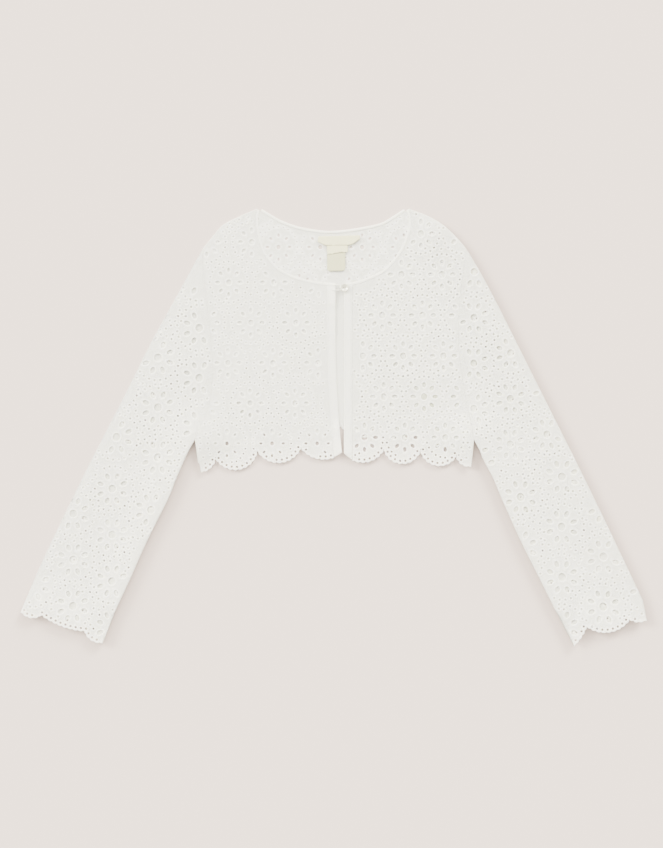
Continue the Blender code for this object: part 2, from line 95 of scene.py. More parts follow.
# Cloth and trims: a seam is the slit between two joined pieces and a roll gap the space between
# the rolls of the neck binding; edges run on past their ends until they cross the next one
BINDING_WIDTH = 3.0
BAND_WIDTH = 9.5
SEAM = 0.04
ROLL_GAP = 0.3
RUN_ON = 12.0
CLOTH_THICKNESS = 0.4
PLAIN_THICKNESS = 0.7

# Heights: the lowest of the under and of the upper layer, the air that the upper one always has
# under it, how far in from an edge it is lofted, and how far it comes down past the back's hem
LOWEST_UNDER = 0.16
LOWEST_UPPER = 0.84
LAYER_GAP = 0.1
LOFT_REACH = 17.0
HEM_DROP = 0.5
HEM_DROP_REACH = 5.0

# How far up the sleeve the under layer's cuff lies from the upper one's
UNDER_CUFF_SETBACK = 5.0

# How finely the edges of the pattern pieces are sampled, and the lines that heights are taken from
EDGE_STEP = 1.5
SCALLOP_STEPS = 66
LOW_LINE_STEP = 7.0
LOW_ARC_STEPS = 7
CLOSEST_CORNERS = 0.3

# Folded edges: how far in the upper layer curves where the edge stands up and where it lies down,
# how far in the under layer does, how high the fold itself lies, and how much of an edge's rise
# the under layer takes. Points this close to a fold lie on it, and match to this many digits
UPPER_FOLD = 1.5
FLAT_FOLD = 5.0
UNDER_FOLD = 7.0
FOLD_MIDDLE = 0.75
UNDER_SHARE = 0.95
ON_FOLD = 1e-3
FOLD_DIGITS = 3

# The garment's lines, from the neck down or from the wearer's right to the left. Hems and cuffs
# are rows of notches, each with the drop of the scallop that follows it
OUTER_EDGE = columns("y right left", [
    (251.5, -85.4, 82.5),
    (242.0, -107.9, 106.7),
    (231.6, -127.8, 123.9),
    (217.8, -140.2, 138.9),
    (202.9, -151.8, 151.5),
    (179.9, -164.8, 165.5),
    (145.4, -183.7, 184.2),
    (99.4, -209.1, 207.3),
    (30.4, -243.7, 241.8),
    (-61.6, -290.8, 287.8),
    (-153.6, -335.1, 332.0),
    (-199.6, -354.3, 353.7),
])
INNER_EDGE = columns("y right left", [
    (-15.6, -159.6, 160.1),
    (-27.1, -166.2, 166.2),
    (-38.6, -171.6, 170.9),
    (-61.6, -181.6, 182.9),
    (-84.6, -190.9, 192.5),
    (-130.6, -213.9, 213.2),
    (-176.6, -234.5, 236.2),
    (-211.1, -250.6, 253.4),
])
ARMHOLE = columns("y right left", [
    (202.9, -151.8, 151.5),
    (179.9, -150.9, 148.6),
    (145.4, -146.9, 144.0),
    (99.4, -141.7, 142.9),
    (64.9, -139.4, 145.8),
    (30.4, -142.9, 151.5),
    (7.4, -149.8, 156.1),
    (-15.6, -159.6, 160.1),
])
NECKLINE = columns("y right left", [
    (251.5, -85.4, 82.5),
    (242.0, -87.0, 85.0),
    (231.6, -87.2, 85.4),
    (222.4, -85.8, 83.9),
    (208.6, -82.5, 78.8),
    (197.7, -77.3, 72.6),
    (187.3, -69.3, 64.2),
    (178.7, -58.9, 54.6),
    (171.2, -41.7, 39.2),
    (166.1, -18.7, 24.8),
    (164.4, 1.4, 11.2),
])
BACK_NECK = columns("x y", [
    (-85.4, 251.5),
    (-74.5, 244.5),
    (-60.0, 236.5),
    (-39.4, 229.3),
    (-16.4, 225.5),
    (0.0, 224.8),
    (26.2, 227.9),
    (52.6, 233.5),
    (68.6, 242.3),
    (82.5, 251.5),
])
FRONT_EDGE = columns("y right left", [
    (164.4, 1.4, 11.2),
    (99.4, 1.4, 11.2),
    (53.4, 2.6, 11.2),
    (2.8, 5.6, 11.2),
    (-29.7, 8.7, 11.2),
])
HEM_RIGHT = columns("x y drop", [
    (-153.0, -51.9, 4.6),
    (-136.7, -34.7, 18.4),
    (-88.6, -26.9, 15.9),
    (-38.4, -23.7, 10.5),
    (8.7, -29.7, 0.0),
])
HEM_LEFT = columns("x y drop", [
    (11.2, -30.6, 12.9),
    (57.2, -25.1, 17.3),
    (99.2, -25.1, 16.1),
    (140.5, -32.2, 4.8),
    (156.9, -45.3, 0.0),
])
HEM_BACK = columns("x y drop", [
    (-156.5, -41.0, 4.6),
    (-122.0, -13.5, 14.5),
    (-80.5, -4.5, 14.5),
    (-36.5, 0.0, 14.5),
    (7.5, 2.8, 14.5),
    (51.0, 0.5, 14.5),
    (94.0, -4.5, 14.5),
    (129.5, -13.5, 4.6),
    (158.0, -41.0, 0.0),
])
CUFF_RIGHT = columns("x y drop", [
    (-358.5, -212.3, 5.0),
    (-335.5, -215.5, 4.0),
    (-285.5, -234.1, 4.5),
    (-265.8, -247.4, 0.0),
])
CUFF_LEFT = columns("x y drop", [
    (274.3, -251.5, 1.5),
    (289.1, -228.4, 11.0),
    (338.3, -220.6, 2.6),
    (357.7, -221.6, 0.0),
])
UNDERARM_CREASE = columns("y right left", [
    (52.2, -134.8, 149.2),
    (21.2, -145.2, 153.8),
    (-15.6, -159.6, 160.1),
])

# Soft folds and hollows of the upper layer: a line, its width and its rise
FOLDS = columns("x1 y1 x2 y2 width rise", [
    (104.0, 34.0, 136.0, 16.0, 16.0, -1.4),
    (133.0, 62.0, 140.0, 10.0, 9.0, 0.8),
    (60.0, 70.0, 96.0, 46.0, 14.0, 0.7),
    (-128.0, 78.0, -96.0, 104.0, 14.0, -0.8),
    (-115.0, 20.0, -70.0, 8.0, 16.0, 0.6),
    (-60.0, 110.0, -20.0, 96.0, 14.0, 0.5),
    (-318.0, -150.0, -338.0, -182.0, 15.0, -1.1),
    (-270.0, -112.0, -232.0, -128.0, 14.0, -0.8),
    (-262.0, -20.0, -205.0, -62.0, 13.0, -0.7),
    (-196.0, 80.0, -160.0, 50.0, 13.0, 0.6),
    (300.0, -70.0, 250.0, -50.0, 14.0, -0.9),
    (322.0, -165.0, 262.0, -150.0, 13.0, -0.7),
    (232.0, 10.0, 190.0, -30.0, 14.0, -0.8),
    (168.0, 120.0, 196.0, 78.0, 12.0, 0.6),
])

# Flower lattices: a centre, the step along a row, the step to the next row, the flower's size, its
# width as a share of its height, the turn of its petals in degrees, and the heights it runs between
LATTICE_COLUMNS = "x y row_x row_y next_x next_y size squash turn bottom top"
LATTICES = {
    "front_right": columns(LATTICE_COLUMNS, [
        (-70.4, 72.9, 51.8, 0.0, 26.4, 46.3, 47.5, 0.92, 0.0, -60.0, 260.0),
    ]),
    "front_left": columns(LATTICE_COLUMNS, [
        (34.8, -12.8, 46.3, 0.0, 22.2, 46.8, 46.5, 0.92, 0.0, -60.0, 260.0),
    ]),
    "back": columns(LATTICE_COLUMNS, [
        (32.0, 20.0, 48.0, 0.0, 24.0, 46.5, 47.0, 0.92, 0.0, -60.0, 260.0),
    ]),
    "sleeve_right": columns(LATTICE_COLUMNS, [
        (-202.7, 21.7, 47.5, -23.3, 0.0, -57.3, 53.0, 0.95, -22.5, -52.0, 260.0),
        (-255.2, -71.6, 44.9, -24.2, 0.0, -52.9, 51.0, 0.95, -22.5, -260.0, -52.0),
    ]),
    "sleeve_left": columns(LATTICE_COLUMNS, [
        (202.1, 31.7, 41.7, 11.5, 0.0, -52.3, 48.0, 0.95, 22.5, -33.0, 260.0),
        (261.3, -115.3, 47.5, 23.3, 0.0, -57.5, 53.0, 0.95, 22.5, -260.0, -33.0),
    ]),
}

# Each lattice is laid out so many steps either way, and then cut to its piece
LATTICE_STEPS = 14

# A flower: shares of its size, the stitched rims of its eyelets, and the sides of their holes,
# which are more for an eyelet whose half length is over that of a long one
PETALS = 8
RING_SHARE = 0.295
CENTRE_SHARE = 0.083
PETAL_WIDE_SHARE = 0.045
PETAL_LONG_SHARE = 0.067
FLOWER_RIM = 2.0
FLOWER_RIM_RISE = 0.28
LONG_EYELET = 3.0
LONG_SIDES = 16
FLOWER_SIDES = 12

# How large a piece's eyelets are: its flowers' as a share, and the radius of its small ones
EYELET_SIZES = {
    "back": (0.6, 0.62),
    "front_right": (0.76, 0.92),
    "front_left": (0.95, 1.15),
    "sleeve_upper": (1.0, 1.15),
    "sleeve_under": (0.9, 0.9),
}

# The flowers' eyelets near a front's hem, where the ground shows through them: below this height
# they are smaller by this share
HEM_EYELETS_BELOW = -8.0
HEM_EYELET_SHARE = {"front_right": 0.72, "front_left": 0.92}

# Small eyelets, in a ring round each flower and between the flowers: their rims, how far apart they
# lie and how far they keep from flowers and edges. The bare share of a flower's size has none.
SMALL_RIM = 1.8
SMALL_RIM_RISE = 0.36
SMALL_SIDES = 8
LARGEST_SMALL = 1.5
RING_EYELETS = 24
RING_EYELET_SHARE = 0.5
BARE_SHARE = 0.38
FILL_SPACING = 6.0
FILL_JITTER = 0.8
SMALLEST_SPACING = 4.9
RING_SPACING_SHARE = 0.92
SMALL_TO_FLOWER = 2.6
SMALL_TO_EDGE = 2.5
EYELET_MARGIN = 1.5

# The row along a scalloped edge: larger eyelets, each in a bulge of the edge, and its stitching
EDGE_RADIUS = 1.3
EDGE_EYELET_RIM = 1.6
EDGE_EYELET_RISE = 0.5
EDGE_ROW_SPACING = 6.2
EDGE_ROW_INSET = 2.6
BULGE = 1.25
EDGE_RIM_START = 0.1
EDGE_RIM = 1.3
EDGE_RIM_RISE = 0.3

# The relief of the stitching on the ground side, as a share, and how much deeper than its relief
# the wall is under it
GROUND_RIM = 0.3
RIM_DEPTH = 1.5
BACK_RIM_DEPTH = 1.2

# The back is plain where it shows between the front edges: the strip's middle and half width
PLAIN_STRIP = (6.3, 5.5)

# How far the pattern of a sleeve's under layer lies from that of its upper one
UNDER_SLIP = {"right": (-19.0, -1.0), "left": (-15.0, 14.0)}

# Nets: rows of points just inside an edge, rings over a stitched rim as shares of its width, a
# loose grid, how far these keep from an eyelet and from the edge, how close points may lie, and how
# fine the rings are. Points this close to a cut edge are on it, unless a soft edge is near.
EDGE_ROWS = (0.7, 1.6)
RIM_RINGS = (0.5, 1.0)
LOOSE_SPACING = 3.1
RING_CLEARANCE = 0.2
GRID_CLEARANCE = 1.5
EDGE_CLEARANCE = 0.63
THINNING = 0.45
FINENESS = {"upper": 1.0, "under": 0.7, "back": 0.8}
ON_EDGE = 0.01
SOFT_EDGE_REACH = 0.5

# The air between the layers, from the right sleeve over the fronts to the left one
LOFT_ACROSS = columns("x loft", [
    (-150.0, 0.3),
    (-130.0, 0.05),
    (-10.0, 0.05),
    (20.0, 0.2),
    (130.0, 0.2),
    (150.0, 0.3),
])

# Where the upper layer alone lifts: at the right front's edge, drawn up by the button loop, and
# at the foot of the front edges
LIFTS = columns("x1 y1 x2 y2 width rise", [
    (1.4, 166.0, 1.4, 142.0, 8.0, 2.2),
    (1.4, 142.0, 2.0, 108.0, 7.0, 0.9),
    (5.0, -4.0, 9.0, -31.0, 8.0, 3.2),
])

# How far the cloth stands up by itself at its edges, and how far in that reaches; the left outer
# edge stands up from one of its points on, below the shoulder
OUTER_RISE = (8.5, 28.0)
INNER_RISE = (9.0, 28.0)
CUFF_RISE = (8.0, 26.0)
HEM_RISE = {"right": (2.4, 15.0), "left": (3.0, 15.0)}
OUTER_RISE_FROM = 8

# The cloth's own fine unevenness: plane waves
RIPPLES = columns("kx ky phase height", [
    (0.110, 0.047, 0.4, 0.07),
    (-0.061, 0.121, 1.9, 0.06),
    (0.187, -0.092, 3.1, 0.05),
    (0.043, 0.214, 5.0, 0.04),
    (0.263, 0.171, 2.2, 0.03),
])

# Painted shade between the layers, standing in for the shade and the light bounced between them:
# how much of it shows through each piece, and how much more it has round the place where it is
# deepest (x, y, reach and share). As shares of a flower's size, how far out from its middle the
# painted shade is whole and where it is down to its least. Its unevenness: the even share, the
# share of its wave, and the wave's step and phase along X and along Y. On the back, how far inside
# a front's edge it starts, and over what width it grows.
PAINTED_SHADE_SHARES = {"front_right": 0.07, "front_left": 0.18, "sleeve_right": 0.28, "sleeve_left": 0.36}
DEEPEST_PAINTED_SHADE = (124.0, 26.0, 44.0, 0.7)
SHADE_REACH = (0.38, 0.44)
LEAST_SHADE = 0.2
SHADE_EVEN = 0.68
SHADE_WAVE = 0.32
SHADE_WAVE_X = (0.062, 0.8)
SHADE_WAVE_Y = (0.055, 0.3)
SHADE_START = 1.0
SHADE_GROWTH = 4.0

# Front bands: rows of points inside the edge and the grid between them, the pillow between the
# edges, the groove of the sewing, and how far in the sewing lies. Its rows stop short of the neck
# and of the hem by a number of points.
BAND_ROWS = (0.5, 1.1, 1.9)
BAND_SPACING = 1.7
BAND_CLEARANCE = 0.42
BAND_THINNING = 0.4
BAND_PILLOW = {"right": 0.06, "left": 0.28}
PILLOW_REACH = 0.8
BAND_GROOVE = {"right": 0.05, "left": 0.12}
GROOVE_REACH = 0.45
SEWING_INSET = 1.7
SEWING_STOPS = (6, 9)

# The sewing's stitches, small beads that lie on the cloth
STITCH_LENGTH = 2.3
STITCH_PITCH = 3.1
STITCH_RADIUS = 0.26
STITCH_HEIGHT = 0.1
BEAD_STEPS = 6
BEAD_SIDES = 6

# The rolls of the neck binding: how far they are wider than the binding, their height at the back
# and at the fronts, how high their middles lie, their puckers, and their tapered ends
ROLL_OVERLAP = 0.2
BACK_ROLL_HEIGHT = 1.15
FRONT_ROLL_HEIGHT = 0.8
BACK_ROLL_MIDDLE = 0.7
FRONT_ROLL_MIDDLE = 0.33
PUCKER = 0.05
PUCKER_PITCH = 3.4
TAPER_LENGTH = 1.2
TAPERED_TO = 0.35
ROLL_SIDES = 14
ROLL_SQUARENESS = 2.6

# The front rolls start so many points below the shoulder
FRONT_ROLL_START = 2

# The labels, each as its corners
LABEL_CORNERS = columns("x y", [
    (-18.2, 218.3),
    (29.7, 219.5),
    (29.3, 215.2),
    (20.6, 209.1),
    (16.4, 208.3),
    (-9.5, 207.9),
    (-11.6, 208.5),
    (-18.8, 212.1),
])
LABEL_FOLD_CORNERS = columns("x y", [
    (-8.6, 209.5),
    (15.6, 210.0),
    (15.6, 200.8),
    (-8.0, 197.7),
])
SIZE_TAB_CORNERS = columns("x y", [
    (-8.3, 197.2),
    (12.8, 199.8),
    (12.5, 181.0),
    (10.5, 178.9),
    (-6.0, 178.4),
    (-7.9, 180.2),
])

# Their thickness, the parts that each of their edges is divided into, and their nets
LABEL_THICKNESS = 0.4
LABEL_EDGE_PARTS = 12
LABEL_SPACING = 1.3
LABEL_CLEARANCE = 0.5

# The labels' heights, how far their lower corners curl up, and the height and step of their wave
LABEL_HEIGHT = 3.0
LABEL_FOLD_HEIGHT = 2.7
SIZE_TAB_HEIGHT = 2.3
LABEL_CURL = 0.8
LABEL_WAVE = (0.1, 0.35)

# The button: its height over the cloth, its head's height over its foot, and its profile from the
# foot to the middle of its face: the share of the way, the radius, and the height over the head's
# underside
BUTTON_PLACE = (11.8, 159.4)
BUTTON_FOOT = 0.9
BUTTON_HEAD = 1.8
BUTTON_PROFILE = columns("way radius height", [
    (0.00, 0.0, -BUTTON_HEAD),
    (0.05, 1.2, -BUTTON_HEAD),
    (0.10, 1.2, 0.0),
    (0.30, 4.2, 0.0),
    (0.40, 4.85, 0.35),
    (0.50, 5.0, 0.8),
    (0.60, 4.8, 1.4),
    (0.68, 4.3, 1.75),
    (0.76, 3.7, 1.6),
    (0.80, 3.3, 1.4),
    (0.85, 2.6, 0.95),
    (0.90, 1.7, 0.5),
    (1.00, 0.0, 0.4),
])

# Where the button's rings lie on that way, the last of them evenly over its dished face, and from
# where on it is the face
BUTTON_RINGS = [0, .05, .1, .2, .3, .36, .4, .45, .5, .55, .6, .64, .68, .72, .76]
DISH_RINGS = (0.8, 1.0, 13)
BUTTON_SIDES = 64
FACE_FROM = 0.6

# On the button's face, from its middle: the two thread holes and the square of their width, the
# painted shade round them with its share and square width, and the painted highlight with its
# square width
THREAD_HOLES = (-0.95, 0.95)
HOLE_SPREAD = 0.5
FACE_SHADE = 0.45
FACE_SHADE_SPREAD = 2.6
PAINTED_HIGHLIGHT_SPOT = (2.7, -1.5)
PAINTED_HIGHLIGHT_SPREAD = 2.0

# The loop: a twisted thread. Its upper half runs from the right band round the button's stem,
# measured from the button's middle; the lower half mirrors it. Then its height over the cloth, its
# rise towards its middle, its thickness and sides, the power of a round, and its twist.
LOOP_HALF = columns("x above", [
    (-2.2, 2.4),
    (1.0, 2.9),
    (5.0, 2.9),
    (9.0, 2.4),
    (12.6, 1.7),
    (13.9, 0.0),
])
LOOP_STEP = 0.5
LOOP_LOWEST = 1.2
LOOP_RISE = 0.85
THREAD_WIDTH = 1.0
THREAD_SIDES = 10
ROUND = 2.0
TWIST_DEPTH = 0.12
TWIST = 1.1

# Finishes of the cloths: the base colour, the shade it is mottled with, and the weave's pitch in
# metres
CLOTHS = {
    "eyelet_cloth": ((0.87, 0.87, 0.79), (0.83, 0.83, 0.745), 0.0009),
    "plain_trim": ((0.925, 0.925, 0.86), (0.895, 0.895, 0.825), 0.0007),
    "sewing_thread": ((0.89, 0.89, 0.83), (0.84, 0.84, 0.77), 0.0004),
}
STITCH_SATIN = (0.985, 0.985, 0.93)
# Painted shade: the dark olive that the cloth takes where the layers hide each other
PAINTED_SHADE_BETWEEN_LAYERS = (0.40, 0.415, 0.31)
CLOTH_TRANSLUCENCY = 0.85
CLOTH_GLOW_COLOUR = (1.0, 1.0, 0.85)

# The scale and detail of the noises in the cloth: its fuzz, its lumps and its mottling, with the
# numbers that the mottling runs between. In its relief, the share of the weave and of the lumps;
# the relief's depth in metres; and the least and most roughness.
FUZZ = (1400, 3)
LUMPS = (420, 2)
MOTTLE = (45, 4)
MOTTLE_SPREAD = (-0.2, 1.2)
WEAVE_SHARE = 0.6
LUMP_SHARE = 2.5
CLOTH_BUMP = 0.00013
CLOTH_ROUGHNESS = (0.78, 0.95)

# Finishes of the ribbons, each with its shade and its base colour: the pitch and depth of their ribs
# in metres, the noise that mottles them, and the least and most roughness
RIBBONS = {
    "label_ribbon": ((0.665, 0.65, 0.42), (0.715, 0.70, 0.465)),
    "tab_ribbon": ((0.505, 0.50, 0.315), (0.545, 0.54, 0.355)),
}
RIBBON_RIBS = 0.0006
RIBBON_BUMP = 0.00008
RIBBON_MOTTLE = (220, 3)
RIBBON_ROUGHNESS = (0.45, 0.62)

# The pearl: the noise of its clouds and their two colours, the colours of its painted highlight and
# of its thread holes (dark thread and painted shade), the least and most roughness, and the relief
# in metres
CLOUDS = (380, 3)
PEARL_CLOUDS = ((0.52, 0.50, 0.41), (0.72, 0.72, 0.66))
PEARL_PAINTED_HIGHLIGHT = (0.97, 0.97, 0.93)
PEARL_HOLE_THREAD_AND_SHADE = (0.16, 0.15, 0.11)
PEARL_ROUGHNESS = (0.1, 0.2)
PEARL_BUMP = 0.00006

# The floor: its colour, how far it reaches from the middle, and how far it is under the garment
FLOOR_COLOUR = (0.595, 0.501, 0.492)
FLOOR_REACH = 6000.0
FLOOR_DEPTH = 0.1

# The photograph's light. Each lamp: its name, the direction that it shines from, its height over
# the horizon and its spread in degrees, and its strength
LIGHT_COLOUR = (1.0, 0.96, 0.80)
WORLD_STRENGTH = 1.8
LAMPS = (
    ("key_left", (-0.9, 0.44), 32.0, 24.0, 7.95),
    ("key_right", (0.5, 0.87), 32.0, 24.0, 7.95),
    ("overhead", (-0.3, 0.5), 68.0, 60.0, 4.65),
)


# Flat curves and pattern pieces

def smooth_curve(x, y, step=EDGE_STEP):
    """Points about a step apart on the smooth curve through the given points: a cubic between each
    two, which at either runs along the line from the point before it to the point after it."""
    points = np.column_stack([x, y])
    knots = np.vstack([2 * points[0] - points[1], points, 2 * points[-1] - points[-2]])
    pieces = []
    for before, start, end, after in zip(knots, knots[1:], knots[2:], knots[3:]):
        count = max(1, round(float(np.linalg.norm(end - start)) / step))
        t = (np.arange(count) / count)[:, None]
        pieces.append(0.5 * (2 * start + (end - before) * t
                             + (2 * before - 5 * start + 4 * end - after) * t ** 2
                             + (3 * start - before - 3 * end + after) * t ** 3))
    return np.vstack(pieces + [points[-1:]])


def side_curve(table, side, step=EDGE_STEP):
    """The smooth curve of one of the tables that give a right and a left side."""
    return smooth_curve(table[side], table["y"], step)


def offset_curve(curve, distance, run_on=0.0):
    """The curve moved to the left of its direction by the distance, and run on at both ends."""
    along = np.gradient(curve, axis=0)
    along /= np.linalg.norm(along, axis=1)[:, None]
    moved = curve + distance * np.column_stack([-along[:, 1], along[:, 0]])
    if not run_on:
        return moved
    return np.vstack([moved[0] - run_on * along[0], moved, moved[-1] + run_on * along[-1]])


def scallops(table, steps=SCALLOP_STEPS):
    """Round arcs from notch to notch, each hanging below its chord by its drop."""
    notches = np.column_stack([table["x"], table["y"]])
    points = [notches[:1]]
    for start, end, drop in zip(notches, notches[1:], table["drop"]):
        chord = end - start
        length = float(np.linalg.norm(chord))
        along = chord / length
        below = np.array([along[1], -along[0]])
        radius = (length ** 2 / 4 + drop ** 2) / (2 * drop)
        half_angle = 2 * math.atan(2 * drop / length)
        angle = np.linspace(-half_angle, half_angle, steps + 1)[1:]
        across = length / 2 + radius * np.sin(angle)
        down = radius * np.cos(angle) - (radius - drop)
        points.append(start + across[:, None] * along + down[:, None] * below)
    return np.vstack(points)


def crossing(first, second):
    """Where two curves cross last: the segment of each, and the point."""
    a, b = first[:-1], first[1:] - first[:-1]
    c, d = second[:-1], second[1:] - second[:-1]
    across = b[:, None, 0] * d[None, :, 1] - b[:, None, 1] * d[None, :, 0]
    across = np.where(np.abs(across) < TINY, np.nan, across)
    gap = c[None, :, :] - a[:, None, :]
    s = (gap[..., 0] * d[None, :, 1] - gap[..., 1] * d[None, :, 0]) / across
    t = (gap[..., 0] * b[:, None, 1] - gap[..., 1] * b[:, None, 0]) / across
    hits = np.argwhere((s >= 0) & (s <= 1) & (t >= 0) & (t <= 1))
    if not len(hits):
        return None
    i, j = hits[-1]
    return int(i), int(j), a[i] + s[i, j] * b[i]


def closed_outline(*curves):
    """One outline from curves in order, each cut off where it crosses the next."""
    curves = [np.array(curve) for curve in curves]
    for index in range(len(curves)):
        other = (index + 1) % len(curves)
        if np.linalg.norm(curves[index][-1] - curves[other][0]) < SAME_POINT:
            continue
        hit = crossing(curves[index], curves[other])
        if hit is not None:
            i, j, point = hit
            curves[index] = np.vstack([curves[index][:i + 1], point])
            curves[other] = np.vstack([point, curves[other][j + 1:]])
    outline = np.vstack(curves)
    apart = np.linalg.norm(outline - np.roll(outline, 1, axis=0), axis=1)
    return outline[apart > CLOSEST_CORNERS]


def inside(points, polygon):
    """Which points lie inside the polygon, by counting the edges to their right."""
    x, y = points[:, 0, None], points[:, 1, None]
    x1, y1 = polygon.T
    x2, y2 = np.roll(polygon, -1, axis=0).T
    rise = np.where(np.abs(y2 - y1) < TINY, TINY, y2 - y1)
    spans = (y1 > y) != (y2 > y)
    right = x < x1 + (y - y1) / rise * (x2 - x1)
    return np.count_nonzero(spans & right, axis=1) % 2 == 1


def in_lots(function, points, lot=LOT):
    """A function of an array of points, worked out a lot at a time to spare memory."""
    return np.concatenate([function(points[i:i + lot]) for i in range(0, len(points), lot)])


def distance_to(points, line, closed=False):
    """Distance from each point to the nearest place on a line of straight stretches."""
    start = line if closed else line[:-1]
    end = np.roll(line, -1, axis=0) if closed else line[1:]
    along = end - start
    length2 = np.maximum((along ** 2).sum(1), TINY)

    def nearest(some):
        from_start = some[:, None, :] - start[None]
        share = np.clip((from_start * along[None]).sum(2) / length2, 0, 1)
        return np.linalg.norm(from_start - share[..., None] * along[None], axis=2).min(1)

    return in_lots(nearest, points)


def inward_offset(table, side, distance, run_on=0.0):
    """A side's curve, running down, moved towards the middle of the garment."""
    sign = 1 if side == "right" else -1
    return offset_curve(side_curve(table, side), sign * distance, run_on)


def shoulder(side):
    """The outer edge from the shoulder point down to the armhole."""
    whole = side_curve(OUTER_EDGE, side)
    return whole[whole[:, 1] > ARMHOLE["y"][0] - SAME_POINT]


def hem_from_side(side):
    """The hem of a front, from the side edge to the front edge."""
    return scallops(HEM_RIGHT) if side == "right" else scallops(HEM_LEFT)[::-1]


def cuff_from_outer_edge(side):
    """The cuff, from the sleeve's outer edge to its inner one."""
    return scallops(CUFF_RIGHT) if side == "right" else scallops(CUFF_LEFT)[::-1]


def front_outline(side):
    """The cloth of a front, inside its band and its binding."""
    return closed_outline(
        shoulder(side),
        inward_offset(ARMHOLE, side, SEAM / 2),
        hem_from_side(side),
        inward_offset(FRONT_EDGE, side, -(BAND_WIDTH + SEAM), RUN_ON)[::-1],
        inward_offset(NECKLINE, side, -(BINDING_WIDTH + SEAM), RUN_ON)[::-1],
    )


def band_outline(side):
    """The band along the front edge, from the binding to the hem."""
    return closed_outline(
        side_curve(FRONT_EDGE, side),
        hem_from_side(side)[::-1],
        inward_offset(FRONT_EDGE, side, -BAND_WIDTH, RUN_ON)[::-1],
        inward_offset(NECKLINE, side, -(BINDING_WIDTH + SEAM), RUN_ON),
    )


def back_neck():
    """The neck edge of the back, from the right shoulder point to the left."""
    return smooth_curve(BACK_NECK["x"], BACK_NECK["y"])


def back_outline():
    """The back, below its neck binding."""
    return closed_outline(
        offset_curve(back_neck(), -(BINDING_WIDTH + SEAM), RUN_ON),
        shoulder("left"),
        inward_offset(ARMHOLE, "left", SEAM / 2),
        scallops(HEM_BACK)[::-1],
        inward_offset(ARMHOLE, "right", SEAM / 2)[::-1],
        shoulder("right")[::-1],
    )


def sleeve_edges(side):
    """The outer and the inner folded edge of a sleeve, running down, and its under cuff."""
    outer = side_curve(OUTER_EDGE, side)
    outer = outer[outer[:, 1] < ARMHOLE["y"][0] + SAME_POINT]
    inner = side_curve(INNER_EDGE, side)
    up_sleeve = (outer[0] - outer[-1]) / np.linalg.norm(outer[0] - outer[-1])
    return outer, inner, cuff_from_outer_edge(side) + UNDER_CUFF_SETBACK * up_sleeve


def with_corner(curve, other):
    """The curve with a point added where it crosses another one."""
    hit = crossing(curve, other)
    if hit is None:
        return curve
    i, _, point = hit
    return np.vstack([curve[:i + 1], point, curve[i + 1:]])


def sleeve_outline(side, layer):
    """One layer of a sleeve, from the armhole to the cuff; both layers share their side edges."""
    outer, inner, under_cuff = sleeve_edges(side)
    outer, inner = with_corner(outer, under_cuff), with_corner(inner, under_cuff)
    cuff = cuff_from_outer_edge(side) if layer == "upper" else under_cuff
    return closed_outline(outer, cuff, inner[::-1],
                          inward_offset(ARMHOLE, side, -SEAM / 2)[::-1])


# Heights

def low_lines():
    """The lines along which the upper layer comes down onto the lower one."""
    lines = [scallops(HEM_RIGHT, LOW_ARC_STEPS), scallops(HEM_LEFT, LOW_ARC_STEPS)]
    for side, cuff in (("right", CUFF_RIGHT), ("left", CUFF_LEFT)):
        for table in (OUTER_EDGE, INNER_EDGE, NECKLINE, FRONT_EDGE, UNDERARM_CREASE):
            lines.append(side_curve(table, side, LOW_LINE_STEP))
        lines.append(scallops(cuff, LOW_ARC_STEPS))
    return lines


def raised_lines():
    """The edges that stand up from the ground by themselves, each with its rise and reach."""
    return [
        (side_curve(OUTER_EDGE, "left", LOW_LINE_STEP)[OUTER_RISE_FROM:], *OUTER_RISE),
        (side_curve(INNER_EDGE, "right", LOW_LINE_STEP), *INNER_RISE),
        (side_curve(INNER_EDGE, "left", LOW_LINE_STEP), *INNER_RISE),
        (scallops(CUFF_RIGHT, LOW_ARC_STEPS), *CUFF_RISE),
        (scallops(CUFF_LEFT, LOW_ARC_STEPS), *CUFF_RISE),
        (scallops(HEM_RIGHT, LOW_ARC_STEPS), *HEM_RISE["right"]),
        (scallops(HEM_LEFT, LOW_ARC_STEPS), *HEM_RISE["left"]),
    ]


LOW_LINES = low_lines()
RAISED_LINES = raised_lines()
BACK_PIECE = back_outline()
BACK_HEM = scallops(HEM_BACK, LOW_ARC_STEPS)


def ripples(points):
    """The sum of a few plane waves, between 0 and 0.5 mm."""
    phase = points[:, :1] * RIPPLES["kx"] + points[:, 1:2] * RIPPLES["ky"] + RIPPLES["phase"]
    return (RIPPLES["height"] * (1 + np.sin(phase))).sum(1)


def raised(points):
    """How far the cloth stands up by itself near the edges that the light leaves in shade: the
    fourth root of the sum of the fourth powers of each line's rise, fading as a bell curve."""
    total = np.zeros(len(points))
    for line, rise, reach in RAISED_LINES:
        total += (rise * np.exp(-(distance_to(points, line) / reach) ** 2)) ** 4
    return total ** 0.25


def under_height(points):
    """Height of the ground side of the lower layer: its lowest height and its share of the rise of
    the edges, with which it stands up."""
    return LOWEST_UNDER + UNDER_SHARE * raised(points)


def fold_height(points):
    """Height of a folded or joined edge: its own height and the mean of both layers' rise."""
    return FOLD_MIDDLE + (1 + UNDER_SHARE) / 2 * raised(points)


def hem_drop(points):
    """How far the fronts come down past the back's hem, where nothing lies under them."""
    past = (np.abs(points[:, 0]) < HEM_BACK["x"][-1]) & (points[:, 1] < HEM_BACK["y"].max())
    drop = np.zeros(len(points))
    if past.any():
        past[past] = ~in_lots(lambda some: inside(some, BACK_PIECE), points[past])
    if past.any():
        away = distance_to(points[past], BACK_HEM)
        drop[past] = HEM_DROP * (1 - np.exp(-(away / HEM_DROP_REACH) ** 2))
    return drop


def bells(points, table):
    """For each line of a table, its rise times a bell curve of the distance over its width."""
    for x1, y1, x2, y2, width, rise in zip(*table.values()):
        away = distance_to(points, np.array([(x1, y1), (x2, y2)]))
        yield rise * np.exp(-(away / width) ** 2)


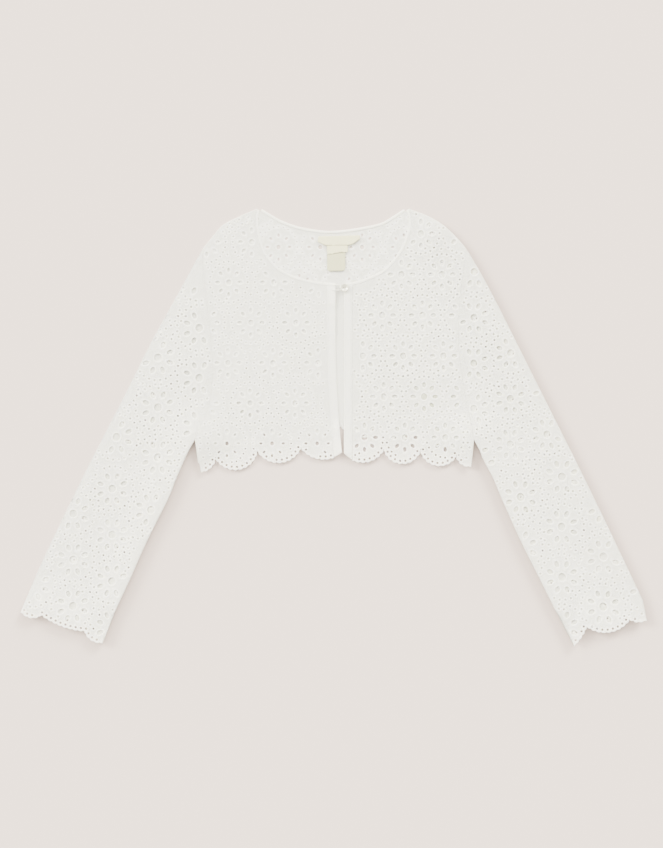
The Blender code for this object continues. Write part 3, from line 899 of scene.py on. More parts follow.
def lifted(points):
    """How far the upper layer alone is drawn up: the highest of the lifts."""
    rise = np.zeros(len(points))
    for bell in bells(points, LIFTS):
        rise = np.maximum(rise, bell)
    return rise


def upper_underside(points):
    """Height of the underside of the upper layer: its lowest height; the loft, the folds and the
    ripples, all fading towards the edges as one less a bell curve; the rise of the edges and the
    lifts; less the drop past the back's hem."""
    edge = np.min([distance_to(points, line) for line in LOW_LINES], axis=0)
    free = 1 - np.exp(-(edge / LOFT_REACH) ** 2)
    loft = np.interp(points[:, 0], LOFT_ACROSS["x"], LOFT_ACROSS["loft"]) * free
    for bell in bells(points, FOLDS):
        loft += bell * free
    loft += ripples(points) * free
    return (LOWEST_UPPER + np.maximum(loft, 0) + raised(points) + lifted(points)
            - hem_drop(points))


def upper_face(points, relief):
    """Height of the upper layer's face: its underside, a thin layer of air, the cloth and its
    stitching."""
    return upper_underside(points) + CLOTH_THICKNESS + LAYER_GAP + relief


def fold_roundness(away, reach):
    """A folded edge: 0 on the fold, rising to 1 within its reach, as a quarter circle where the
    reach is short and as a parabola where it is long."""
    share = np.clip(away / reach, 0, 1)
    parabola = 1 - (1 - share) ** 2
    return np.sqrt(parabola) if reach < FLAT_FOLD else parabola


def outer_fold(side, layer):
    """How far in the fold of an outer edge reaches. On the left the edge stands up, so the upper
    layer's fold is narrow and the under layer's wide. On the right it lies on the ground."""
    if layer == "upper":
        return FLAT_FOLD if side == "right" else UPPER_FOLD
    return UPPER_FOLD if side == "right" else UNDER_FOLD


# Eyelets: an array with one row each, of x, y, half width, half length, turn, rim and rim rise

def turned_by(points, turn):
    """Flat points turned anticlockwise about the origin, in radians."""
    cosine, sine = math.cos(turn), math.sin(turn)
    return points @ np.array([[cosine, sine], [-sine, cosine]])


def flower_rows(pattern, outline, slip=(0.0, 0.0)):
    """The flowers of a lattice within reach of an outline: x, y, size, squash and turn."""
    steps = np.arange(-LATTICE_STEPS, LATTICE_STEPS + 1)
    row, place = (grid.ravel() for grid in np.meshgrid(steps, steps))
    found = []
    for (x, y, row_x, row_y, next_x, next_y, size, squash, turn, bottom,
         top) in zip(*LATTICES[pattern].values()):
        centre = np.column_stack([x + place * row_x + row * next_x + slip[0],
                                  y + place * row_y + row * next_y + slip[1]])
        low, high = outline.min(0) - size / 2, outline.max(0) + size / 2
        near = np.all((centre > low) & (centre < high), axis=1)
        near &= (centre[:, 1] > bottom) & (centre[:, 1] <= top)
        centre = centre[near]
        rest = np.tile([size, squash, math.radians(turn)], (len(centre), 1))
        found.append(np.column_stack([centre, rest]))
    return np.vstack(found)


def flower_eyelets(flowers, share):
    """The centre and the petals of each flower, the petals evenly round it, pointing away."""
    rows = []
    for x, y, size, squash, turn in flowers:
        rows.append((x, y, CENTRE_SHARE * size * squash, CENTRE_SHARE * size, turn))
        for lean in 2 * math.pi * np.arange(PETALS) / PETALS:
            away = turned_by(RING_SHARE * size
                             * np.array([-math.sin(lean) * squash, math.cos(lean)]), turn)
            rows.append((x + away[0], y + away[1], PETAL_WIDE_SHARE * size,
                         PETAL_LONG_SHARE * size, turn + lean))
    rows = np.array(rows)
    rows[:, 2:4] *= share
    rim = np.tile([FLOWER_RIM, FLOWER_RIM_RISE], (len(rows), 1))
    return np.column_stack([rows, rim])


def from_eyelets(points, eyelets):
    """Signed distance outside the nearest eyelet, and that eyelet's index: how many times as far as
    the edge a point is, less 1, times the root of the half width by the half length."""
    def nearest(some):
        across = some[:, None, 0] - eyelets[None, :, 0]
        up = some[:, None, 1] - eyelets[None, :, 1]
        cosine, sine = np.cos(eyelets[:, 4]), np.sin(eyelets[:, 4])
        wide, long = eyelets[:, 2], eyelets[:, 3]
        reach = np.hypot((across * cosine + up * sine) / wide,
                         (up * cosine - across * sine) / long)
        away = (reach - 1) * np.sqrt(wide * long)
        index = away.argmin(1)
        return np.column_stack([away[np.arange(len(some)), index], index])

    found = in_lots(nearest, points, EYELET_LOT)
    return found[:, 0], found[:, 1].astype(int)


def rim_points(eyelet, sides, share):
    """A ring of points round an eyelet: its own edge at share 0, its rim's outside at share 1."""
    x, y, wide, long, turn, rim, _ = eyelet
    angle = 2 * math.pi * (np.arange(sides) + 0.5) / sides
    corners = np.column_stack([(wide + share * rim) * np.cos(angle),
                               (long + share * rim) * np.sin(angle)])
    return turned_by(corners, turn) + (x, y)


def way_along(line):
    """The length of a line from its start to each of its points."""
    return np.concatenate([[0], np.cumsum(np.linalg.norm(np.diff(line, axis=0), axis=1))])


def spaced_along(line, spacing):
    """Points evenly spaced along a line."""
    along = way_along(line)
    at = np.linspace(0, along[-1], max(2, round(along[-1] / spacing) + 1))
    return np.column_stack([np.interp(at, along, line[:, 0]), np.interp(at, along, line[:, 1])])


def hex_grid(low, high, spacing):
    """A grid of rows, each shifted by half a step from the one before."""
    y = np.arange(low[1], high[1], spacing * math.sqrt(0.75))
    x = np.arange(low[0], high[0], spacing)
    grid_x, grid_y = np.meshgrid(x, y)
    grid_x[1::2] += spacing / 2
    return np.column_stack([grid_x.ravel(), grid_y.ravel()])


def small_eyelets(outline, flowers, big, edge_rows, draw, radius):
    """Small round eyelets, placed in turn along the stitched edges, round the flowers and
    between them, each where it is clear of the ones before, of the flowers and of the edge."""
    wanted = [spaced_along(edge, EDGE_ROW_SPACING) for edge in edge_rows]
    edge_rows_end = sum(len(row) for row in wanted)
    angle = 2 * math.pi * np.arange(RING_EYELETS) / RING_EYELETS
    for x, y, size, squash, turn in flowers:
        ring = RING_EYELET_SHARE * size * np.column_stack([np.cos(angle) * squash,
                                                           np.sin(angle)])
        wanted.append(turned_by(ring, turn) + (x, y))
    rings_end = sum(len(row) for row in wanted)
    fill = hex_grid(outline.min(0), outline.max(0), FILL_SPACING)
    wanted.append(fill + draw.normal(0, FILL_JITTER, fill.shape))
    wanted = np.vstack(wanted)
    order = np.arange(len(wanted))
    clear = inside(wanted, outline)
    clear &= distance_to(wanted, outline, closed=True) > SMALL_TO_EDGE
    clear &= from_eyelets(wanted, big)[0] > SMALL_TO_FLOWER
    middle = np.linalg.norm(wanted[:, None] - flowers[None, :, :2], axis=2) / flowers[:, 2]
    clear &= (middle.min(1) > BARE_SHARE) | (order < edge_rows_end)
    kept = []
    for index in order[clear]:
        point = wanted[index]
        share = 1.0 if index >= rings_end else RING_SPACING_SHARE
        near = np.hypot(*(wanted[kept] - point).T)
        if not len(kept) or near.min() > SMALLEST_SPACING * share:
            kept.append(index)
    on_edge = np.array(kept)[:, None] < edge_rows_end
    rest = np.where(on_edge, (EDGE_RADIUS, EDGE_RADIUS, 0, EDGE_EYELET_RIM, EDGE_EYELET_RISE),
                    (radius, radius, 0, SMALL_RIM, SMALL_RIM_RISE))
    return np.column_stack([wanted[kept], rest])


def bulged(outline, edges):
    """An outline with its stitched edges swelling out round each eyelet of their edge rows: out
    by the largest bulge times the size of the cosine of pi times the way along over the pitch."""
    outline = outline.copy()
    for edge in edges:
        along = way_along(edge)
        pitch = along[-1] / max(1, round(along[-1] / EDGE_ROW_SPACING))
        swell = BULGE * np.abs(np.cos(math.pi * along / pitch))
        outwards = offset_curve(edge, -1.0) - edge
        apart = np.linalg.norm(outline[:, None] - edge[None], axis=2)
        nearest = apart.argmin(1)
        on_edge = np.flatnonzero(apart.min(1) < SAME_POINT)
        outline[on_edge] += swell[nearest[on_edge], None] * outwards[nearest[on_edge]]
    return outline


def fitting(eyelets, outline):
    """The eyelets whose holes lie inside an outline, clear of its edge."""
    reach = np.maximum(eyelets[:, 2], eyelets[:, 3]) + EYELET_MARGIN
    centres = eyelets[:, :2]
    return eyelets[inside(centres, outline)
                   & (distance_to(centres, outline, closed=True) > reach)]


def eyelets_for(pattern, outline, stitched_edges, draw, sizes, slip=(0.0, 0.0)):
    """All eyelets of a pattern piece: the flowers' and then the small ones."""
    share, radius = EYELET_SIZES[sizes]
    flowers = flower_rows(pattern, outline, slip)
    big = flower_eyelets(flowers, share)
    big[big[:, 1] < HEM_EYELETS_BELOW, 2:4] *= HEM_EYELET_SHARE.get(pattern, 1.0)
    rows = [offset_curve(edge, EDGE_ROW_INSET) for edge in stitched_edges]
    small = small_eyelets(outline, flowers, big, rows, draw, radius)
    return np.vstack([fitting(big, outline), small])


# Flat nets of the pattern pieces

def thinned(points, spacing):
    """The points without those that share a small square of a grid with an earlier one."""
    _, first = np.unique(np.floor(points / spacing).astype(int), axis=0, return_index=True)
    return points[np.sort(first)]


def net(outline, holes, loose):
    """Triangles over an outline with holes, through loose points: the evenest net that keeps every
    edge, less the triangles outside the outline and those whose corners all lie on one hole."""
    loops = [outline] + holes
    starts = np.cumsum([0] + [len(loop) for loop in loops])
    loop_of = np.full(starts[-1] + len(loose), -1)
    for index in range(len(loops)):
        loop_of[starts[index]:starts[index + 1]] = index
    edges = [(int(start + i), int(start + (i + 1) % len(loop)))
             for start, loop in zip(starts, loops) for i in range(len(loop))]
    corners = [Vector(p) for p in np.vstack(loops + [loose]).tolist()]
    flat, _, faces, source = delaunay_2d_cdt(corners, edges, [], 0, SAME_POINT, True)[:4]
    flat = np.array([tuple(point) for point in flat])
    faces = np.array([tuple(face) for face in faces])
    loop = np.array([loop_of[origin[0]] if origin else -1 for origin in source])[faces]
    in_hole = (loop[:, 0] > 0) & (loop[:, 0] == loop[:, 1]) & (loop[:, 0] == loop[:, 2])
    kept = ~in_hole & in_lots(lambda some: inside(some, outline), flat[faces].mean(1))
    faces = faces[kept]
    a, b, c = (flat[faces[:, i]] for i in range(3))
    turn = (b - a)[:, 0] * (c - a)[:, 1] - (b - a)[:, 1] * (c - a)[:, 0]
    faces[turn < 0] = faces[turn < 0][:, ::-1]
    used, faces = np.unique(faces, return_inverse=True)
    return flat[used], faces.reshape(-1, 3)


def rows_inside(outline, insets):
    """Rows of points along an outline at each inset, on both of its sides."""
    loop = np.vstack([outline, outline[:1]])
    return [offset_curve(loop, sign * inset) for inset in insets for sign in (1, -1)]


def sides_of(eyelet, fineness):
    """How many sides an eyelet's ring gets: few for a small one, most for a long one."""
    if eyelet[2] <= LARGEST_SMALL:
        return SMALL_SIDES if fineness == 1 else SMALL_SIDES - 2
    sides = LONG_SIDES if eyelet[3] > LONG_EYELET else FLOWER_SIDES
    return max(SMALL_SIDES, round(sides * fineness))


def panel(outline, eyelets, fineness):
    """A flat net of a pattern piece: a loop round each eyelet's hole and rings over its stitched
    rim, rows of points just inside the edge, and a loose grid between them."""
    holes = [rim_points(eyelet, sides_of(eyelet, fineness), 0) for eyelet in eyelets]
    rings = [rim_points(eyelet, sides_of(eyelet, fineness) + 1, share) for eyelet in eyelets
             for share in (RIM_RINGS if eyelet[2] > LARGEST_SMALL or fineness == 1
                           else RIM_RINGS[:1])]
    near = np.vstack(rings + rows_inside(outline, EDGE_ROWS))
    grid = hex_grid(outline.min(0), outline.max(0), LOOSE_SPACING)
    clearance = np.concatenate([np.full(len(near), RING_CLEARANCE),
                                np.full(len(grid), GRID_CLEARANCE)])
    loose = np.vstack([near, grid])
    within = in_lots(lambda some: inside(some, outline), loose)
    loose, clearance = loose[within], clearance[within]
    clear = from_eyelets(loose, eyelets)[0] > clearance
    clear &= distance_to(loose, outline, closed=True) > EDGE_CLEARANCE
    return net(outline, holes, thinned(loose[clear], THINNING))


def stitch_relief(points, eyelets, stitched_edges):
    """Height of the stitched rims over the cloth, 0 at a hole's edge and outside the rim and 1 at
    its crest, and the same for the stitched outer edges; the height and the share of the crest."""
    away, index = from_eyelets(points, eyelets)
    across = np.clip(away / eyelets[index, 5], 0, 1)
    crest = 4 * across * (1 - across)
    height = crest * eyelets[index, 6]
    for edge in stitched_edges:
        across = np.clip((distance_to(points, edge) - EDGE_RIM_START) / EDGE_RIM, 0, 1)
        band = np.sqrt(1 - across ** 2)
        crest = np.maximum(crest, band)
        height = np.maximum(height, band * EDGE_RIM_RISE)
    return height, crest


# Meshes

def mesh_piece(name, points, faces, finish, shares=None, seam=None):
    """A piece on the object's one body, in metres from points in millimetres, with its shares as
    named values for the material. Edges between two corners of a seam are sharp, so that the
    cloth looks flat up to it."""
    mesh = bpy.data.meshes.new(name)
    mesh.from_pydata((np.asarray(points) * MM).tolist(), [], [tuple(f) for f in faces])
    mesh.materials.append(finish)
    mesh.polygons.foreach_set("use_smooth", np.ones(len(mesh.polygons), bool))
    for share_name, values in (shares or {}).items():
        share = mesh.attributes.new(share_name, "FLOAT", "POINT")
        share.data.foreach_set("value", np.asarray(values, np.float32))
    mesh.update()
    if seam is not None:
        ends = np.empty(2 * len(mesh.edges), np.int32)
        mesh.edges.foreach_get("vertices", ends)
        sharp = mesh.attributes.new("sharp_edge", "BOOLEAN", "EDGE")
        sharp.data.foreach_set("value", seam[ends].reshape(-1, 2).all(1))
    made = bpy.data.objects.new(name, mesh)
    bpy.context.scene.collection.objects.link(made)
    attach(made, "root")
    return made


def vertex_normals(points, faces):
    """Unit normals of the corners, each the sum of its triangles' area vectors."""
    a, b, c = (points[faces[:, i]] for i in range(3))
    area = np.cross(b - a, c - a)
    normals = np.zeros_like(points)
    for i in range(3):
        np.add.at(normals, faces[:, i], area)
    return normals / np.maximum(np.linalg.norm(normals, axis=1), TINY)[:, None]


def closed_wall(front, faces, thickness):
    """A closed wall: the given face, a second one behind it by the thickness along its normals,
    and a strip of two triangles along every free edge."""
    back = front - thickness[:, None] * vertex_normals(front, faces)
    count = len(front)
    sides = np.concatenate([faces[:, [0, 1]], faces[:, [1, 2]], faces[:, [2, 0]]])
    free = ~np.isin(sides[:, 0] * count + sides[:, 1], sides[:, 1] * count + sides[:, 0])
    start, end = sides[free].T
    strips = np.concatenate([np.column_stack([end, start, start + count]),
                             np.column_stack([end, start + count, end + count])])
    return np.vstack([front, back]), np.vstack([faces, faces[:, ::-1] + count, strips])


def ring_quads(steps, sides):
    """The faces of a tube of rings: a quad from each side of a ring to the next ring's."""
    i, j = np.meshgrid(np.arange(steps - 1), np.arange(sides), indexing="ij")
    i, j = i.ravel(), j.ravel()
    after = (j + 1) % sides
    return np.column_stack([i * sides + j, i * sides + after, (i + 1) * sides + after,
                            (i + 1) * sides + j])


def weld(made):
    """Joins the corners that fall together at the poles and drops the faces with no area."""
    held = bmesh.new()
    held.from_mesh(made.data)
    bmesh.ops.remove_doubles(held, verts=held.verts, dist=WELDED)
    bmesh.ops.dissolve_degenerate(held, edges=held.edges, dist=NO_LENGTH)
    bmesh.ops.recalc_face_normals(held, faces=held.faces)
    held.to_mesh(made.data)
    held.free()


# Cloth panels

def painted_shade_under(points, piece, flowers):
    """How strong the painted shade under a piece is: its own share and a bell curve round the
    deepest place, whole under a flower and least beyond it, and uneven as the product of two sines."""
    away = np.linalg.norm(points[:, None, :2] - flowers[None, :, :2], axis=2) / flowers[:, 2]
    step_x, phase_x = SHADE_WAVE_X
    step_y, phase_y = SHADE_WAVE_Y
    wave = np.sin(step_x * points[:, 0] + phase_x) * np.sin(step_y * points[:, 1] + phase_y)
    x, y, reach, more = DEEPEST_PAINTED_SHADE
    bell = np.exp(-((points[:, 0] - x) ** 2 + (points[:, 1] - y) ** 2) / reach ** 2)
    return ((PAINTED_SHADE_SHARES[piece] + more * bell) * (SHADE_EVEN + SHADE_WAVE * wave)
            * np.interp(away.min(1), SHADE_REACH, [1.0, LEAST_SHADE]))


def painted_shade_on_back(points):
    """The painted shade on the back's inner face: that of the fronts over it, growing evenly to the
    whole from just inside their edges."""
    shade_share = np.zeros(len(points))
    for side in ("right", "left"):
        over = front_outline(side)
        depth = np.clip((distance_to(points, over, closed=True) - SHADE_START) / SHADE_GROWTH, 0, 1)
        depth *= in_lots(lambda some: inside(some, over), points)
        shade_share += depth * painted_shade_under(points, "front_" + side, flower_rows("front_" + side, over))
    return shade_share


def cloth_shares(crest, inner):
    """A cloth wall's named values: how far each corner is up a stitched rim, and how much painted
    shade it takes between the layers, which the wall's second face does."""
    return {"crest": np.tile(crest, 2),
            "painted_shade_between": np.concatenate([np.zeros(len(crest)), inner])}


def on_seam(points, outline, soft_edges):
    """Which points lie on a straight cut edge of a pattern piece, away from its soft edges."""
    on_edge = distance_to(points, outline, closed=True) < ON_EDGE
    for edge in soft_edges:
        on_edge &= distance_to(points, edge) > SOFT_EDGE_REACH + BULGE
    return on_edge


def with_cloth_inside(edge, side):
    """A hem or cuff that runs in from the side edge, turned so that the cloth is on its left."""
    return edge if side == "right" else edge[::-1]


def signed_area(outline):
    """The area of an outline by the sum of its corners' cross products, above 0 where it runs
    anticlockwise."""
    x, y = outline.T
    return np.sum(x * np.roll(y, -1) - np.roll(x, -1) * y) / 2


def make_front(side, cloth, draw):
    """A front: the cloth face rides over the back, its stitched hem hanging past the back's."""
    piece = "front_" + side
    outline = front_outline(side)
    hem = hem_from_side(side)
    stitched = [with_cloth_inside(hem, side)]
    eyelets = eyelets_for(piece, outline, stitched, draw, piece)
    flat, faces = panel(bulged(outline, stitched), eyelets, FINENESS["upper"])
    height, crest = stitch_relief(flat, eyelets, stitched)
    roundness = fold_roundness(distance_to(flat, shoulder(side)), outer_fold(side, "upper"))
    middle = fold_height(flat) + CLOTH_THICKNESS
    top = middle + (upper_face(flat, height) - middle) * roundness
    seam = on_seam(flat, outline, [hem, shoulder(side)])
    # How much painted shade this front takes between the layers
    shade_share = painted_shade_under(flat, piece, flower_rows(piece, outline))
    points, faces = closed_wall(np.column_stack([flat, top]), faces,
                                CLOTH_THICKNESS + RIM_DEPTH * height)
    made = mesh_piece("front_cloth_" + side, points, faces, cloth,
                      cloth_shares(crest, shade_share), np.tile(seam, 2))
    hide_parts("front_" + side)


def make_back(cloth, draw):
    """The back: its outer face lies on the ground and its inner face shows at the neck."""
    outline = back_outline()
    hem = scallops(HEM_BACK)
    eyelets = eyelets_for("back", outline, [hem], draw, "back")
    strip, half_width = PLAIN_STRIP
    eyelets = eyelets[np.abs(eyelets[:, 0] - strip) > half_width + eyelets[:, 3]]
    flat, faces = panel(bulged(outline, [hem]), eyelets, FINENESS["back"])
    height, crest = stitch_relief(flat, eyelets, [hem])
    low = under_height(flat) - GROUND_RIM * height
    points, faces = closed_wall(np.column_stack([flat, low]), faces[:, ::-1],
                                CLOTH_THICKNESS + BACK_RIM_DEPTH * height)
    # The back's inner face takes painted shade under the fronts
    made = mesh_piece("back_cloth", points, faces, cloth,
                      cloth_shares(crest, painted_shade_on_back(flat)))
    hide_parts("back")


def sleeve_layer(side, layer, draw):
    """One layer of a sleeve, rounded to the fold's height at both folded edges: its points and
    faces and, for each point, the height and crest of its stitching, whether it lies on a seam
    and whether on a fold."""
    outer, inner, under_cuff = sleeve_edges(side)
    outline = sleeve_outline(side, layer)
    cuff = cuff_from_outer_edge(side) if layer == "upper" else under_cuff
    stitched = [with_cloth_inside(cuff, side)]
    slip = (0.0, 0.0) if layer == "upper" else UNDER_SLIP[side]
    eyelets = eyelets_for("sleeve_" + side, outline, stitched, draw, "sleeve_" + layer, slip)
    flat, faces = panel(bulged(outline, stitched), eyelets, FINENESS[layer])
    height, crest = stitch_relief(flat, eyelets, stitched)
    from_outer, from_inner = distance_to(flat, outer), distance_to(flat, inner)
    inner_fold = UPPER_FOLD if layer == "upper" else UNDER_FOLD
    roundness = np.minimum(fold_roundness(from_outer, outer_fold(side, layer)),
                           fold_roundness(from_inner, inner_fold))
    height = height * roundness
    if layer == "upper":
        free = upper_face(flat, height)
    else:
        free = under_height(flat) - GROUND_RIM * height
        faces = faces[:, ::-1]
    middle = fold_height(flat)
    points = np.column_stack([flat, middle + (free - middle) * roundness])
    seam = on_seam(flat, outline, [outer, inner, cuff])
    on_fold = np.minimum(from_outer, from_inner) < ON_FOLD
    return points, faces, height, crest, seam, on_fold


def joined_layers(upper, under):
    """Two layers of a sleeve as one net: points at the same place on a fold become one, and
    points that no face uses are left out."""
    upper_points, upper_faces, *upper_values, upper_on_fold = upper
    under_points, under_faces, *under_values, under_on_fold = under
    places = {tuple(np.round(upper_points[i, :2], FOLD_DIGITS)): i
              for i in np.flatnonzero(upper_on_fold)}
    index = np.arange(len(under_points)) + len(upper_points)
    for i in np.flatnonzero(under_on_fold):
        index[i] = places.get(tuple(np.round(under_points[i, :2], FOLD_DIGITS)), index[i])
    used, faces = np.unique(np.vstack([upper_faces, index[under_faces]]), return_inverse=True)
    values = [np.concatenate(pair)[used] for pair in zip(upper_values, under_values)]
    return np.vstack([upper_points, under_points])[used], faces.reshape(-1, 3), *values


def make_sleeve(side, cloth, draw):
    """A sleeve: one cut piece folded into a flat tube, its upper and under layer joined along
    both folded edges, open at the cuff and at the armhole."""
    piece = "sleeve_" + side
    upper = sleeve_layer(side, "upper", draw)
    under = sleeve_layer(side, "under", draw)
    front, faces, height, crest, seam = joined_layers(upper, under)
    outline = sleeve_outline(side, "upper")
    # How much painted shade this sleeve takes between its layers
    shade_share = painted_shade_under(front, piece, flower_rows(piece, outline))
    points, faces = closed_wall(front, faces, CLOTH_THICKNESS + RIM_DEPTH * height)
    made = mesh_piece("sleeve_cloth_" + side, points, faces, cloth,
                      cloth_shares(crest, shade_share), np.tile(seam, 2))
    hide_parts(f"sleeve_{side}_upper", f"sleeve_{side}_under")


# Trims

def carried_profile(path, profile, swell):
    """A closed profile of (across, up) points carried along a path in space, kept upright; swell
    widens it at each step, and both ends are closed with a fan."""
    along = np.gradient(path, axis=0)
    along /= np.linalg.norm(along, axis=1)[:, None]
    across = np.cross([0, 0, 1], along)
    across /= np.linalg.norm(across, axis=1)[:, None]
    up = np.cross(along, across)
    rings = (path[:, None] + swell[:, None, None]
             * (profile[None, :, 0, None] * across[:, None]
                + profile[None, :, 1, None] * up[:, None]))
    steps, sides = rings.shape[:2]
    start, ahead = np.arange(sides), np.roll(np.arange(sides), -1)
    last_ring = (steps - 1) * sides
    first_middle, last_middle = steps * sides, steps * sides + 1
    faces = list(ring_quads(steps, sides))
    faces += [(first_middle, b, a) for a, b in zip(start, ahead)]
    faces += [(last_middle, last_ring + a, last_ring + b) for a, b in zip(start, ahead)]
    points = np.vstack([rings.reshape(-1, 3), path[:1], path[-1:]])
    return points, [face[::-1] for face in faces]


def rounded_profile(wide, high, sides, power):
    """A flattened round: a superellipse of the given width and height."""
    angle = 2 * math.pi * np.arange(sides) / sides
    cosine, sine = np.cos(angle), np.sin(angle)
    return np.column_stack([wide / 2 * np.sign(cosine) * np.abs(cosine) ** (2 / power),
                            high / 2 * np.sign(sine) * np.abs(sine) ** (2 / power)])


def beads_along(place, z):
    """A bead at each place, as an array of (bead, along, round): its radius is the root of a
    sine along its length, and it follows the line and its slope."""
    direction = np.gradient(place, axis=0)
    direction /= np.linalg.norm(direction, axis=1)[:, None]
    along = np.column_stack([direction, np.gradient(z) / STITCH_PITCH])
    side = np.column_stack([-direction[:, 1], direction[:, 0], np.zeros(len(place))])
    t = np.linspace(0, 1, BEAD_STEPS)
    swell = np.sqrt(np.maximum(np.sin(math.pi * t), 0)) * STITCH_RADIUS
    angle = 2 * math.pi * np.arange(BEAD_SIDES) / BEAD_SIDES
    outwards = (np.cos(angle)[None, :, None] * side[:, None]
                + np.sin(angle)[None, :, None] * np.array([0, 0, 1.0]))
    middle = np.column_stack([place, z])
    return (middle[:, None, None]
            + (t[None, :, None, None] - 0.5) * STITCH_LENGTH * along[:, None, None]
            + swell[None, :, None, None] * outwards[:, None])


def running_stitches(name, lines, lift, finish):
    """Rows of sewing: small beads at even steps along each line, at a fixed height over the upper
    layer's underside."""
    one_bead = ring_quads(BEAD_STEPS, BEAD_SIDES)
    points, faces, base = [], [], 0
    for line in lines:
        place = spaced_along(line, STITCH_PITCH)
        points.append(beads_along(place, upper_underside(place) + lift).reshape(-1, 3))
        first = base + np.arange(len(place)) * BEAD_STEPS * BEAD_SIDES
        faces.append((first[:, None, None] + one_bead).reshape(-1, 4))
        base += len(points[-1])
    made = mesh_piece(name, np.vstack(points), np.vstack(faces), finish)
    weld(made)
    return made


def make_band(side, trim, thread):
    """A front band: a plain doubled strip with two rows of sewing. It swells from its edges as one
    less a bell curve, and dips as a bell curve along the sewing."""
    outline = band_outline(side)
    grid = hex_grid(outline.min(0), outline.max(0), BAND_SPACING)
    loose = np.vstack(rows_inside(outline, BAND_ROWS) + [grid])
    loose = loose[inside(loose, outline)]
    loose = loose[distance_to(loose, outline, closed=True) > BAND_CLEARANCE]
    flat, faces = net(outline, [], thinned(loose, BAND_THINNING))
    away = distance_to(flat, outline, closed=True)
    pillow = BAND_PILLOW[side] * (1 - np.exp(-(away / PILLOW_REACH) ** 2))
    groove = BAND_GROOVE[side] * np.exp(-((away - SEWING_INSET) / GROOVE_REACH) ** 2)
    top = upper_underside(flat) + PLAIN_THICKNESS + pillow - groove
    points, faces = closed_wall(np.column_stack([flat, top]), faces,
                                np.full(len(flat), PLAIN_THICKNESS))
    seam = on_seam(flat, outline, [side_curve(FRONT_EDGE, side), hem_from_side(side)])
    seam &= side == "right"
    made = mesh_piece("band_" + side, points, faces, trim, None, np.tile(seam, 2))
    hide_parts("front_band_" + side)
    from_neck, from_hem = SEWING_STOPS
    lines = [inward_offset(FRONT_EDGE, side, -inset)[from_neck:-from_hem]
             for inset in (SEWING_INSET, BAND_WIDTH - SEWING_INSET)]
    sewing = running_stitches("band_sewing_" + side, lines, PLAIN_THICKNESS + STITCH_HEIGHT,
                              thread)


def make_bindings(trim):
    """The neck binding: a narrow rolled strip in three stretches, puckered by its sewing as a sine
    along it, and tapered as a root at its ends."""
    high_roll, low_roll = (
        rounded_profile(BINDING_WIDTH + ROLL_OVERLAP, high, ROLL_SIDES, ROLL_SQUARENESS)
        for high in (BACK_ROLL_HEIGHT, FRONT_ROLL_HEIGHT))
    neck = offset_curve(back_neck(), -BINDING_WIDTH / 2)
    for side in ("right", "left"):
        apart = distance_to(neck, side_curve(NECKLINE, side))
        neck = neck[apart > BINDING_WIDTH / 2 + ROLL_GAP]
    stretches = [("back", neck, high_roll, np.full(len(neck), BACK_ROLL_MIDDLE))]
    for side in ("right", "left"):
        line = inward_offset(NECKLINE, side, -BINDING_WIDTH / 2)[FRONT_ROLL_START:]
        stretches.append((side, line, low_roll, upper_underside(line) + FRONT_ROLL_MIDDLE))
    for place, line, profile, height in stretches:
        along = way_along(line)
        swell = 1 + PUCKER * np.sin(2 * math.pi * along / PUCKER_PITCH)
        from_end = np.minimum(along, along[-1] - along)
        swell *= np.clip(from_end / TAPER_LENGTH, TAPERED_TO, 1) ** 0.5
        points, faces = carried_profile(np.column_stack([line, height]), profile, swell)
        made = mesh_piece("neck_roll_" + place, points, faces, trim)
        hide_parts("neck_binding_" + place)


def label_outline(table):
    """A label's outline, each of its edges in equal parts, running anticlockwise."""
    corners = np.column_stack([table["x"], table["y"]])
    ahead = np.roll(corners, -1, axis=0)
    share = np.linspace(0, 1, LABEL_EDGE_PARTS + 1)[:-1, None, None]
    outline = (corners * (1 - share) + ahead * share).transpose(1, 0, 2).reshape(-1, 2)
    return outline if signed_area(outline) > 0 else outline[::-1]


def make_labels(ribbon, tab):
    """The bare neck label, its folded end and the size tab under it: thin woven ribbon, which curls
    up by the square of the way down times the way aside, and waves as a sine across."""
    wave, wave_step = LABEL_WAVE
    for name, node, table, height, finish in (
            ("woven_label", "neck_label", LABEL_CORNERS, LABEL_HEIGHT, ribbon),
            ("label_fold", None, LABEL_FOLD_CORNERS, LABEL_FOLD_HEIGHT, ribbon),
            ("size_ribbon", "size_tab", SIZE_TAB_CORNERS, SIZE_TAB_HEIGHT, tab)):
        outline = label_outline(table)
        grid = hex_grid(outline.min(0), outline.max(0), LABEL_SPACING)
        grid = grid[inside(grid, outline)]
        grid = grid[distance_to(grid, outline, closed=True) > LABEL_CLEARANCE]
        flat, faces = net(outline, [], grid)
        down = (outline[:, 1].max() - flat[:, 1]) / np.ptp(outline[:, 1])
        aside = np.abs(flat[:, 0] - outline[:, 0].mean()) / np.ptp(outline[:, 0])
        z = height + LABEL_CURL * down ** 2 * aside + wave * np.sin(flat[:, 0] * wave_step)
        points, faces = closed_wall(np.column_stack([flat, z]), faces,
                                    np.full(len(flat), LABEL_THICKNESS))
        made = mesh_piece(name, points, faces, finish)
        if node:
            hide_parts(node)


